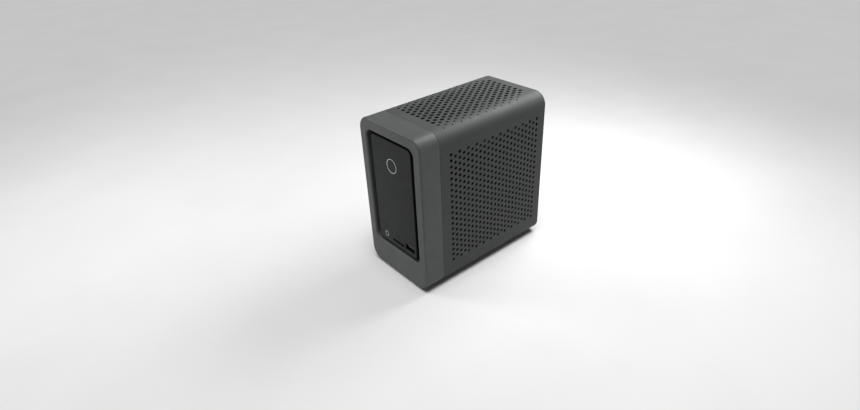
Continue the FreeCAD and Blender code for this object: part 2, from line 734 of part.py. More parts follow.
def card_reader():
    """A flat metal shell on the board, as deep as the card is long."""
    mouth = PANEL_BACK_Y + PORT_SETBACK
    half_w, depth, height = CARD_READER
    slot_w, slot_h = CARD_SLOT
    back_wall = 1.0
    shell = box(CARD_X - half_w, CARD_X + half_w, mouth, mouth + depth, IO_BOARD_TOP, IO_BOARD_TOP + height)
    slot = box(CARD_X - slot_w, CARD_X + slot_w, mouth, mouth + depth - back_wall,
               CARD_Z - slot_h, CARD_Z + slot_h)
    return shell.cut(slot)


def front_usb_port():
    port = metal_port(*FRONT_USB)
    port.translate(V(FRONT_USB_X, PANEL_FACE_Y + FRONT_USB_INSET, IO_BOARD_TOP))
    return port


def status_light():
    lens = rod("y", (STATUS_X, PANEL_FACE_Y + STATUS_INSET, STATUS_Z), STATUS_R, PANEL_T - STATUS_INSET)
    base = rod("y", (STATUS_X, PANEL_BACK_Y, STATUS_Z), STATUS_R + STATUS_LIP, PANEL_T)
    return join([lens, base])


# ---- screws of the front assembly ---------------------------------------------------------
def carrier_screws():
    return group([screw("y", -1, (x, CARRIER_BACK_Y, z), M2_R, *CARRIER_SCREW) for x, z in boss_points()])


def panel_screws():
    return group([screw("y", -1, (x, CARRIER_BACK_Y, z), M2_R, *PANEL_SCREW) for x, z in post_points()])


def board_mount_screws():
    """Screws of the two small front boards."""
    shelf = [screw("z", -1, (x, IO_SCREW_Y, IO_BOARD_TOP), M2_R, *SHELF_SCREW) for x in IO_SCREW_XS]
    face = CARRIER_Y - BOARD_T
    button = [screw("y", 1, (x, face, BUTTON_Z), M2_R, *BUTTON_SCREW) for x in BUTTON_SCREW_XS]
    return group(shelf + button)


# ---- fans ---------------------------------------------------------------------------------
def fan_corner_points():
    half = FAN_HOLE_PITCH / 2
    return [(x, y) for x in (-half, half) for y in (-half, half)]


def fan_frame():
    """A square fan frame around the z axis, from z = 0 up, with struts and the motor's core."""
    half = FAN_SIZE / 2
    low, high = FAN_FLANGE_T, FAN_T - FAN_FLANGE_T
    flat = half - FAN_EAR
    frame = soft_box("z", FAN_CORNER_R, -half, half, -half, half, 0, FAN_T)
    waist = soft_box("z", 2.0, -half, half, -half, half, low, high)
    walls = [soft_box("z", 2.0, -flat, flat, -half - 1, half + 1, low, high),
             soft_box("z", 2.0, -half - 1, half + 1, -flat, flat, low, high),
             rod("z", (0, 0, 0), FAN_BORE_R + FAN_BORE_WALL, FAN_T)]
    frame = frame.cut(cut_all(waist, walls))
    frame = frame.cut(rod("z", (0, 0, 0), FAN_BORE_R, FAN_T))
    struts = []
    for k in range(4):
        strut = box(MOTOR_R, FAN_BORE_R + FAN_BORE_WALL / 2, -STRUT_HALF_W, STRUT_HALF_W, 0, STRUT_T)
        strut.rotate(V(0, 0, 0), AXES["z"], 45 + 90 * k)
        struts.append(strut)
    hub = rod("z", (0, 0, 0), HUB_R - 0.5, STRUT_T)
    motor = rod("z", (0, 0, STRUT_T), MOTOR_R, MOTOR_H)
    frame = join([frame, hub, motor] + struts)
    holes = [rod("z", (x, y, 0), FAN_HOLE_R, FAN_T) for x, y in fan_corner_points()]
    return cut_all(frame, holes + [rod("z", (0, 0, BEARING_Z), BEARING_R, BEARING_L)])


def fan_bearing():
    start = BEARING_Z + HOLE_PLAY
    return tube("z", (0, 0, start), BEARING_R, SHAFT_R + SLIDE_PLAY, BEARING_L - 3 * HOLE_PLAY)


def fan_blade():
    """One blade along +X: a thin slab that twists from root to tip."""
    sections = []
    for radius, half_chord, pitch in (BLADE_ROOT, BLADE_TIP):
        angle = math.radians(pitch)
        along = V(0, math.cos(angle), math.sin(angle)) * half_chord
        across = V(0, -math.sin(angle), math.cos(angle)) * BLADE_T / 2
        middle = V(radius, 0, BLADE_Z)
        corners = [middle - along - across, middle + along - across,
                   middle + along + across, middle - along + across]
        sections.append(Part.makePolygon(corners + [corners[0]]))
    return Part.makeLoft(sections, True, True)


def fan_rotor():
    """Cup, lid, shaft and blades. The cup hangs over the motor."""
    cup = tube("z", (0, 0, CUP_Z), HUB_R, CUP_R, LID_Z - CUP_Z)
    lid = rod("z", (0, 0, LID_Z), HUB_R, LID_T)
    lid = lid.makeFillet(LID_SOFT, [e for e in lid.Edges if abs(e.CenterOfMass.z - LID_Z - LID_T) < TINY])
    shaft = rod("z", (0, 0, SHAFT_Z), SHAFT_R, LID_Z - 1.0)
    blades = []
    for k in range(FAN_BLADES):
        blade = fan_blade()
        blade.rotate(V(0, 0, 0), AXES["z"], 360 / FAN_BLADES * k)
        blades.append(blade)
    hollow = tube("z", (0, 0, 2.0), CUP_R, SHAFT_R, LID_Z - 2.0)
    return join([cup, lid, shaft] + blades).cut(hollow)


def at_exhaust(shape):
    """Puts a fan piece under the top vents: it lies flat and blows up."""
    placed = shape.copy()
    placed.translate(V(0, FAN_Y, BRACKET_Z + SHEET_T))
    return placed


def at_cooler(shape):
    """Puts a fan piece on the heatsink: its axis runs along X."""
    placed = shape.copy()
    turn = FreeCAD.Rotation(AXES["y"], 90)
    placed.Placement = FreeCAD.Placement(V(SINK_TOP_X, COOLER_Y, COOLER_Z), turn)
    return placed


def exhaust_fan_screws():
    seat = BRACKET_Z + SHEET_T + FAN_T
    return group([screw("z", -1, (x, FAN_Y + y, seat), M3_R, *EXHAUST_SCREW)
                  for x, y in fan_corner_points()])


def cooler_fan_screws():
    seat = SINK_TOP_X + FAN_T
    return group([screw("x", -1, (seat, COOLER_Y + a, COOLER_Z + b), M3_R, *COOLER_FAN_SCREW)
                  for a, b in fan_corner_points()])


def fan_bracket():
    """A sheet bridge across the sleeve that carries the exhaust fan."""
    front, rear = FAN_Y - BRACKET_HALF_L, FAN_Y + BRACKET_HALF_L
    top = BRACKET_Z + SHEET_T
    plate = box(-INSIDE_X, INSIDE_X, front, rear, BRACKET_Z, top)
    flanges = [box(x, x + SHEET_T, front, rear, BRACKET_Z - BRACKET_FLANGE_H, top)
               for x in (-INSIDE_X, INSIDE_X - SHEET_T)]
    bridge = join([plate] + flanges)
    holes = [rod("z", (x, FAN_Y + y, BRACKET_Z), M3_R + HOLE_PLAY, SHEET_T) for x, y in fan_corner_points()]
    return cut_all(bridge, [rod("z", (0, FAN_Y, BRACKET_Z), FAN_BORE_R, SHEET_T)] + holes)


# ---- guides and lugs fixed in the sleeve --------------------------------------------------
def tray_rails():
    """Two grooved strips that guide the tray's lower and upper edges."""
    half_w = 4.5
    height = 6.0
    groove_half = TRAY_T / 2 + 0.3
    play_z = 0.4
    middle = TRAY_X + TRAY_T / 2
    floor = BASE_Z + WALL
    lower_ends = (TRAY_FRONT_Y, 72.0)
    lower = box(middle - half_w, middle + half_w, *lower_ends, floor, floor + height)
    lower = lower.common(body_bar(WALL, SEAM_Y, REAR_Y))
    lower = lower.cut(box(middle - groove_half, middle + groove_half, *lower_ends,
                          TRAY_BOTTOM - play_z, floor + height))
    upper_ends = (FAN_Y - 25, FAN_Y + 25)
    upper = box(middle - half_w, middle + half_w, *upper_ends, BRACKET_Z - height, BRACKET_Z)
    upper = upper.cut(box(middle - groove_half, middle + groove_half, *upper_ends,
                          BRACKET_Z - height, TRAY_TOP + play_z))
    return group([lower, upper])


def rear_lugs():
    """Blocks inside the sleeve that take the thumbscrews."""
    front = REAR_PANEL_Y - LUG_D
    lugs = []
    for z in LUG_ZS:
        block = box(LUG_X - LUG_HALF, LUG_X + LUG_HALF, front, REAR_PANEL_Y, z - LUG_HALF, z + LUG_HALF)
        lugs.append(block.cut(rod("y", (LUG_X, front, z), M3_R + TAP_PLAY, LUG_D)))
    return group(lugs)


def thumbscrews():
    """Notched screws that hold the rear panel against the lugs."""
    head_y = REAR_SEAT_Y + 0.3
    head_h = 1.0
    screws = []
    for z in LUG_ZS:
        shank = rod("y", (LUG_X, REAR_SEAT_Y - LUG_D, z), M3_R, LUG_D)
        washer = rod("y", (LUG_X, REAR_SEAT_Y, z), KNOB_R - 0.2, 0.3)
        head = rod("y", (LUG_X, head_y, z), KNOB_R, head_h)
        notches = []
        for k in range(KNOB_NOTCHES):
            angle = 2 * math.pi * k / KNOB_NOTCHES
            x = LUG_X + (KNOB_R + 0.1) * math.cos(angle)
            notches.append(rod("y", (x, head_y, z + (KNOB_R + 0.1) * math.sin(angle)), 0.3, head_h))
        slot = box(LUG_X - 3, LUG_X + 3, head_y + 0.5, head_y + head_h, z - 0.4, z + 0.4)
        screws.append(join([shank, washer, cut_all(head, notches + [slot])]))
    return group(screws)


# ---- tray ---------------------------------------------------------------------------------
def drive_screw_points():
    """The four side holes of a 2.5 inch drive, as its standard places them."""
    return [(y, z) for y in DRIVE_HOLE_YS for z in DRIVE_HOLE_ZS]


def chassis_tray():
    """The sheet that draws out: board on one face, drive on the other, a flange at the back."""
    flange_y = REAR_PANEL_Y - TRAY_T
    plate = box(TRAY_X, TRAY_X + TRAY_T, TRAY_FRONT_Y, flange_y, TRAY_BOTTOM, TRAY_TOP)
    back = TRAY_X + TRAY_T
    flange = box(back - TRAY_FLANGE_W, back, flange_y, REAR_PANEL_Y, *TRAY_FLANGE_ZS)
    cuts = [rod("x", (TRAY_X, y, z), M3_R + HOLE_PLAY, TRAY_T) for y, z in drive_screw_points()]
    cuts += [rod("x", (TRAY_X, y, z), M3_R + PRESS_PLAY, TRAY_T) for y, z in STANDOFF_POINTS]
    cuts += [rod("y", (FLANGE_SCREW_X, flange_y, z), M3_R + PRESS_PLAY, TRAY_T) for z in FLANGE_SCREW_ZS]
    for low in TRAY_WINDOW_ZS:
        cuts.append(soft_box("x", TRAY_WINDOW_R, TRAY_X, TRAY_X + TRAY_T, *TRAY_WINDOW_YS,
                             low, low + TRAY_WINDOW_H))
    return cut_all(join([plate, flange]), cuts)


def rear_panel():
    """The back plate: port cut-outs in a column, hexagonal vents beside them."""
    plate = body_bar(WALL + REAR_PANEL_GAP, REAR_PANEL_Y, REAR_SEAT_Y)
    cuts = []
    for z, width, height in port_windows():
        half = width / 2 + PORT_RIM
        cuts.append(box(BOARD_FACE_X - PORT_RIM, BOARD_FACE_X + height + PORT_RIM,
                        REAR_PANEL_Y, REAR_SEAT_Y, z - half, z + half))
    cuts += rear_vents()
    screw_points = [(LUG_X, z) for z in LUG_ZS] + [(FLANGE_SCREW_X, z) for z in FLANGE_SCREW_ZS]
    cuts += [rod("y", (x, REAR_PANEL_Y, z), M3_R + BOARD_PLAY, REAR_PANEL_T) for x, z in screw_points]
    return cut_all(plate, cuts)


def rear_vents():
    """A honeycomb beside the ports."""
    pitch_x = REAR_VENT_PITCH * math.sqrt(3) / 2
    cells = []
    for column in range(REAR_VENT_COLUMNS):
        x = REAR_VENT_X + column * pitch_x
        first_z = REAR_VENT_Z + (REAR_VENT_PITCH / 2 if column % 2 else 0.0)
        for row in range(REAR_VENT_ROWS):
            place = (x, REAR_PANEL_Y, first_z + row * REAR_VENT_PITCH)
            cells.append(hex_prism("y", place, REAR_VENT_W, REAR_PANEL_T))
    return cells


def rear_panel_screws():
    return group([screw("y", -1, (FLANGE_SCREW_X, REAR_SEAT_Y, z), M3_R, *REAR_SCREW)
                  for z in FLANGE_SCREW_ZS])


def standoffs():
    """Hexagonal posts, each with a stud pressed into the tray and a hole for a board screw."""
    hole_l = 5.0
    pieces = []
    for y, z in STANDOFF_POINTS:
        post = hex_prism("x", (TRAY_X + TRAY_T, y, z), STANDOFF_W, STANDOFF_H)
        stud = rod("x", (TRAY_X, y, z), M3_R, TRAY_T)
        pieces.append(join([post, stud]).cut(rod("x", (BOARD_X - hole_l, y, z), M3_R + PRESS_PLAY, hole_l)))
    return group(pieces)


def main_board():
    board = soft_box("x", 1.0, BOARD_X, BOARD_FACE_X, BOARD_FRONT_Y, BOARD_REAR_Y, BOARD_BOTTOM, BOARD_TOP)
    holes = [rod("x", (BOARD_X, y, z), M3_R + BOARD_PLAY, BOARD_T) for y, z in STANDOFF_POINTS]
    holes += [rod("x", (BOARD_X, y, z), M3_R + HOLE_PLAY, BOARD_T) for y, z in cooler_screw_points()]
    return cut_all(board, holes)


def board_screws():
    return group([screw("x", -1, (BOARD_FACE_X, y, z), M3_R, *BOARD_SCREW)
                  for y, z in STANDOFF_POINTS])


# ---- processor and cooler -----------------------------------------------------------------
def cooler_screw_points():
    half = COOLER_SCREW_HALF
    return [(COOLER_Y + a, COOLER_Z + b) for a in (-half, half) for b in (-half, half)]


def cpu_socket():
    half_y, half_z = 22.0, 24.0
    chip_x = SINK_X - CHIP_T
    base = soft_box("x", 1.5, BOARD_FACE_X, chip_x + 1.0, COOLER_Y - half_y, COOLER_Y + half_y,
                    COOLER_Z - half_z, COOLER_Z + half_z)
    well_half = CHIP_HALF + 0.15
    well = box(chip_x, SINK_X, COOLER_Y - well_half, COOLER_Y + well_half,
               COOLER_Z - well_half, COOLER_Z + well_half)
    return base.cut(well)


def processor():
    """A square carrier with a metal lid that meets the heatsink."""
    chip_x = SINK_X - CHIP_T
    carrier = box(chip_x, chip_x + 0.9, COOLER_Y - CHIP_HALF, COOLER_Y + CHIP_HALF,
                  COOLER_Z - CHIP_HALF, COOLER_Z + CHIP_HALF)
    lid = soft_box("x", 2.0, SINK_X - 1.0, SINK_X, COOLER_Y - 15, COOLER_Y + 15,
                   COOLER_Z - 16, COOLER_Z + 16)
    return join([carrier, lid])


def heatsink():
    """A base plate with upright fins. Round reliefs over its screws reach through the fins."""
    y0, y1 = COOLER_Y - SINK_SIZE_Y / 2, COOLER_Y + SINK_SIZE_Y / 2
    z0, z1 = COOLER_Z - SINK_SIZE_Z / 2, COOLER_Z + SINK_SIZE_Z / 2
    base_top = SINK_X + SINK_BASE_T
    pieces = [box(SINK_X, base_top, y0, y1, z0, z1)]
    pitch = (SINK_SIZE_Y - SINK_FIN_T) / (SINK_FINS - 1)
    for k in range(SINK_FINS):
        y = y0 + k * pitch
        pieces.append(box(base_top, SINK_TOP_X, y, y + SINK_FIN_T, z0, z1))
    reliefs = []
    for y, z in cooler_screw_points():
        reliefs.append(rod("x", (base_top, y, z), 3.6, SINK_FIN_H))
        reliefs.append(rod("x", (SINK_X, y, z), M3_R + HOLE_PLAY, SINK_BASE_T))
    fan_thread = 6.0
    for a, b in fan_corner_points():
        start = (SINK_TOP_X - fan_thread, COOLER_Y + a, COOLER_Z + b)
        reliefs.append(rod("x", start, M3_R + HOLE_PLAY, fan_thread))
    return cut_all(join(pieces), reliefs)


def cooler_screws():
    seat = SINK_X + SINK_BASE_T
    return group([screw("x", -1, (seat, y, z), M3_R, *COOLER_SCREW)
                  for y, z in cooler_screw_points()])


# ---- cards, drive and small board parts ---------------------------------------------------
def memory_sockets():
    """Two edge connectors, the rear one taller, each grooved for the edge of its card."""
    sockets = []
    for y, height in MEMORY_SLOTS:
        bar = box(BOARD_FACE_X, BOARD_FACE_X + height + MEMORY_SOCKET_RIM, y, y + MEMORY_SOCKET_D,
                  MEMORY_Z0 - 1, MEMORY_Z1 + 1)
        middle = BOARD_FACE_X + height
        half = MEMORY_CARD_T / 2 + HOLE_PLAY
        groove = box(middle - half, middle + half, y, y + MEMORY_GROOVE_D + BOARD_PLAY,
                     MEMORY_Z0 - HOLE_PLAY, MEMORY_Z1 + HOLE_PLAY)
        sockets.append(bar.cut(groove))
    return group(sockets)


def memory_modules():
    """Two memory cards, each a board with four chips on its face."""
    modules = []
    for y, height in MEMORY_SLOTS:
        face = BOARD_FACE_X + height + MEMORY_CARD_T / 2
        rear = y + MEMORY_GROOVE_D
        front = rear - MEMORY_CARD_W
        pieces = [box(face - MEMORY_CARD_T, face, front, rear, MEMORY_Z0, MEMORY_Z1)]
        for k in range(MEMORY_CHIPS):
            low = MEMORY_Z0 + 3 + MEMORY_CHIP_PITCH * k
            pieces.append(box(face, face + MEMORY_CHIP_T, front + 6, front + 6 + MEMORY_CHIP_W,
                              low, low + MEMORY_CHIP_L))
        modules.append(join(pieces))
    return group(modules)


def ssd_socket():
    half = SSD_HALF_W + 0.5
    body = box(BOARD_FACE_X, BOARD_FACE_X + SSD_SOCKET_H, SSD_SOCKET_Y, SSD_SOCKET_Y + SSD_SOCKET_D,
               SSD_Z - half, SSD_Z + half)
    low = BOARD_FACE_X + SSD_LIFT
    groove_half = SSD_HALF_W + SLIDE_PLAY
    groove = box(low - HOLE_PLAY, low + CARD_T + HOLE_PLAY, SSD_SOCKET_Y, SSD_SOCKET_Y + 4,
                 SSD_Z - groove_half, SSD_Z + groove_half)
    return body.cut(groove)


def ssd_stick():
    """A long card with three chips and a half-round notch at its free end."""
    x = BOARD_FACE_X + SSD_LIFT
    face = x + CARD_T
    pieces = [box(x, face, SSD_Y, SSD_Y + SSD_L, SSD_Z - SSD_HALF_W, SSD_Z + SSD_HALF_W)]
    for k in range(SSD_CHIPS):
        low = SSD_Y + 10 + SSD_CHIP_PITCH * k
        pieces.append(box(face, face + SSD_CHIP_T, low, low + SSD_CHIP_L,
                          SSD_Z - SSD_CHIP_HALF_W, SSD_Z + SSD_CHIP_HALF_W))
    return join(pieces).cut(rod("x", (x, SSD_Y, SSD_Z), 2.3, CARD_T))


def ssd_screw():
    """The screw and its stand at the free end of the stick."""
    x = BOARD_FACE_X + SSD_LIFT
    neck_l = CARD_T + 0.1
    stand = rod("x", (BOARD_FACE_X, SSD_Y, SSD_Z), 2.2, SSD_LIFT)
    neck = rod("x", (x, SSD_Y, SSD_Z), 1.8, neck_l)
    head = rod("x", (x + neck_l, SSD_Y, SSD_Z), 2.9, 0.9)
    return join([stand, neck, head])


def wifi_card():
    """A small card with a shielded chip, in a socket at its rear edge."""
    x = BOARD_FACE_X + WIFI_LIFT
    face = x + CARD_T
    card = box(x, face, *WIFI_CARD)
    shield = box(face, face + WIFI_SHIELD_T, *WIFI_SHIELD)
    foot = box(BOARD_FACE_X, x, *WIFI_SOCKET)
    return join([card, shield, foot])


def power_chokes():
    """A row of pressed coils above the processor."""
    return group([soft_box("x", 1.0, BOARD_FACE_X, BOARD_FACE_X + CHOKE_H, y, y + CHOKE_W,
                           CHOKE_Z, CHOKE_Z + CHOKE_W) for y in CHOKE_YS])


def capacitors():
    """Round cans, two beside the coils and a row below the cooler."""
    cans = []
    for y, z in CAN_POINTS:
        can = rod("x", (BOARD_FACE_X, y, z), CAN_R, CAN_H)
        top_rim = [e for e in can.Edges if abs(e.CenterOfMass.x - BOARD_FACE_X - CAN_H) < TINY]
        cans.append(can.makeFillet(0.5, top_rim))
    return group(cans)


def storage_drive():
    """A 2.5 inch drive with its plug recess at the rear."""
    y1 = DRIVE_Y + DRIVE_L
    case = soft_box("x", 2.5, TRAY_X - DRIVE_T, TRAY_X, DRIVE_Y, y1, DRIVE_Z, DRIVE_Z + DRIVE_W)
    thread = 3.0
    cuts = [rod("x", (TRAY_X - thread, y, z), M3_R + PRESS_PLAY, thread) for y, z in drive_screw_points()]
    cuts.append(box(TRAY_X - 5.2, TRAY_X - 1.2, y1 - 6, y1, DRIVE_Z + 12, DRIVE_Z + 52))
    return cut_all(case, cuts)


def drive_screws():
    seat = TRAY_X + TRAY_T
    return group([screw("x", -1, (seat, y, z), M3_R, *DRIVE_SCREW) for y, z in drive_screw_points()])


def coin_cell():
    """The clock's battery in its wrap, stuck to the tray beside the drive."""
    cell = rod("x", (TRAY_X - CELL_T, *CELL_POINT), CELL_R, CELL_T)
    rims = [e for e in cell.Edges if len(e.Vertexes) == 1]
    return cell.makeFillet(CELL_SOFT, rims)


# ---- rear ports ---------------------------------------------------------------------------
def port_windows():
    """(height of the centre, width along z, depth off the board) of every rear port."""
    return [
        (POWER_Z, POWER_W, POWER_H),
        (HDMI_Z, *HDMI[:2]),
        (DISPLAY_Z, *DISPLAY[:2]),
        (USB_C_Z, USB_C_W, USB_C_H),
        (LAN_Z, LAN_W, LAN_H),
        (USB_STACK_ZS[0], *USB_STACK[:2]),
        (USB_STACK_ZS[1], *USB_STACK[:2]),
    ]


def power_inlet():
    half, wall = POWER_W / 2, 0.8
    floor = 1.0
    body = box(-half, half, 0, POWER_L, 0, POWER_H)
    mouth = soft_box("y", 0.6, wall - half, half - wall, 0, 10, floor, POWER_H - floor)
    blade = box(-0.5, 0.5, 2, 11, 1.6, 4.8)
    return on_rear_edge(body.cut(mouth).fuse(blade), POWER_Z)


def hdmi_port():
    return on_rear_edge(metal_port(*HDMI), HDMI_Z)


def display_port():
    return on_rear_edge(metal_port(*DISPLAY), DISPLAY_Z)


def usb_c_port():
    half, wall, back_wall = USB_C_W / 2, 0.35, 1.5
    corner = 1.6
    shell = soft_box("y", corner, -half, half, 0, USB_C_L, 0, USB_C_H)
    hollow = soft_box("y", corner - wall, wall - half, half - wall, 0, USB_C_L - back_wall,
                      wall, USB_C_H - wall)
    tongue = box(-3.3, 3.3, 0.9, 8, 1.35, 2.05)
    return on_rear_edge(shell.cut(hollow).fuse(tongue), USB_C_Z)


def lan_port():
    half = LAN_W / 2
    body = box(-half, half, 0, LAN_L, 0, LAN_H)
    mouth = box(-5.9, 5.9, 0, 13, 2.6, 10.4)
    latch = box(-3.1, 3.1, 0, 13, 1.2, 2.6)
    comb = [box(-3.9 + 1.1 * k, -3.5 + 1.1 * k, 3, 13.5, 9.0, 10.9) for k in range(8)]
    return on_rear_edge(join([body.cut(mouth).cut(latch)] + comb), LAN_Z)


def usb_stack_ports():
    ports = []
    for z in USB_STACK_ZS:
        body = metal_port(*USB_STACK)
        shelf = box(-7.0, 7.0, 0.2, 16, 7.4, 8.4)
        ports.append(on_rear_edge(body.fuse(shelf), z))
    return group(ports)


# ---- every node ---------------------------------------------------------------------------
def nodes():
    return {
        "outer_shell": outer_shell(),
        "front_bezel": front_bezel(),
        "rubber_feet": rubber_feet(),
        "vesa_inserts": vesa_inserts(),
        "side_filter": side_filter(),
        "front_carrier": front_carrier(),
        "front_panel": front_panel(),
        "button_light_ring": button_light_ring(),
        "power_button": power_button(),
        "button_switch": button_switch(),
        "button_board": button_board(),
        "front_io_board": front_io_board(),
        "audio_jack": audio_jack(),
        "card_reader": card_reader(),
        "front_usb_port": front_usb_port(),
        "status_light": status_light(),
        "carrier_screws": carrier_screws(),
        "panel_screws": panel_screws(),
        "board_mount_screws": board_mount_screws(),
        "fan_bracket": fan_bracket(),
        "exhaust_fan_frame": at_exhaust(fan_frame()),
        "exhaust_fan_bearing": at_exhaust(fan_bearing()),
        "exhaust_fan_rotor": at_exhaust(fan_rotor()),
        "exhaust_fan_screws": exhaust_fan_screws(),
        "tray_rails": tray_rails(),
        "rear_lugs": rear_lugs(),
        "thumbscrews": thumbscrews(),
        "chassis_tray": chassis_tray(),
        "rear_panel": rear_panel(),
        "rear_panel_screws": rear_panel_screws(),
        "standoffs": standoffs(),
        "main_board": main_board(),
        "board_screws": board_screws(),
        "cpu_socket": cpu_socket(),
        "processor": processor(),
        "heatsink": heatsink(),
        "cooler_screws": cooler_screws(),
        "cooler_fan_frame": at_cooler(fan_frame()),
        "cooler_fan_bearing": at_cooler(fan_bearing()),
        "cooler_fan_rotor": at_cooler(fan_rotor()),
        "cooler_fan_screws": cooler_fan_screws(),
        "memory_sockets": memory_sockets(),
        "memory_modules": memory_modules(),
        "ssd_socket": ssd_socket(),
        "ssd_stick": ssd_stick(),
        "ssd_screw": ssd_screw(),
        "wifi_card": wifi_card(),
        "power_chokes": power_chokes(),
        "capacitors": capacitors(),
        "storage_drive": storage_drive(),
        "drive_screws": drive_screws(),
        "coin_cell": coin_cell(),
        "power_inlet": power_inlet(),
        "hdmi_port": hdmi_port(),
        "display_port": display_port(),
        "usb_c_port": usb_c_port(),
        "lan_port": lan_port(),
        "usb_stack_ports": usb_stack_ports(),
    }


os.makedirs("parts", exist_ok=True)
for node_name, node_shape in nodes().items():
    save(node_name, node_shape)
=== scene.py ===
import json
import math
import random

import bmesh
import bpy
from mathutils import Matrix, Vector


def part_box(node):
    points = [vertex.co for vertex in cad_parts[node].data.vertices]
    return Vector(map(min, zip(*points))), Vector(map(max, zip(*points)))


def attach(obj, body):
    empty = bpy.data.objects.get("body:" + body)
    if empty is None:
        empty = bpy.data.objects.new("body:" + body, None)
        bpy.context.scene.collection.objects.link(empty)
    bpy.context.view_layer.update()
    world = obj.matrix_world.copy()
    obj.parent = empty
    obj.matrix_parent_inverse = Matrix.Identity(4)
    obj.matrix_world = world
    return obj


# The looks of a small tower computer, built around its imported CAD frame. The scene is in metres,
# +Z up, with the front at -Y. Sizes in this script are millimetres unless a comment says otherwise.

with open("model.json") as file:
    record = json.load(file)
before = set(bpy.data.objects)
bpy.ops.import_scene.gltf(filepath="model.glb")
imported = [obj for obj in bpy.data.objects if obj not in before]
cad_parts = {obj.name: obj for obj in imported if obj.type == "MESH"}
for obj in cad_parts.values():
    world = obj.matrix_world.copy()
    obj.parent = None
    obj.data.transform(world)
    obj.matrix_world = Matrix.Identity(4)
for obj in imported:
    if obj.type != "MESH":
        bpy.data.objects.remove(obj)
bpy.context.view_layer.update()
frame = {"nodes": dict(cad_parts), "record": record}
NODES = frame["nodes"]
MM = 0.001


# ---- finishes -----------------------------------------------------------------------------
NOISE_BODY = (0.3, 0.7)          # nearly all of a noise pattern's values lie between these
UPPER_NOISE = (0.45, 0.75)       # picks out the patches where a noise pattern is high
BEVEL_SAMPLES = 4
EDGE_SAMPLES = 6
EDGE_COSINE = (0.99, 0.80)       # normal against rounded normal: a flat place, a full edge
ROUND = (1, 1, 1)                # a pattern stretched along no axis
VIA_GOLD = (0.45, 0.40, 0.26)
CONTACT_GOLD = ((0.80, 0.58, 0.22), (0.62, 0.43, 0.15))
CONTACT_GAP = (0.01, 0.03, 0.02)
CONTACT_ROUGHNESS = 0.25
TRACE_LANES = 7.0                # traces side by side across one cell of the board's pattern
# strength of the painted glow on the light-grey ring, which holds no lamp
PAINTED_RING_GLOW = 0.25


def scaled(colour, factor):
    """A brighter or darker version of a colour."""
    return tuple(min(1.0, c * factor) for c in colour)


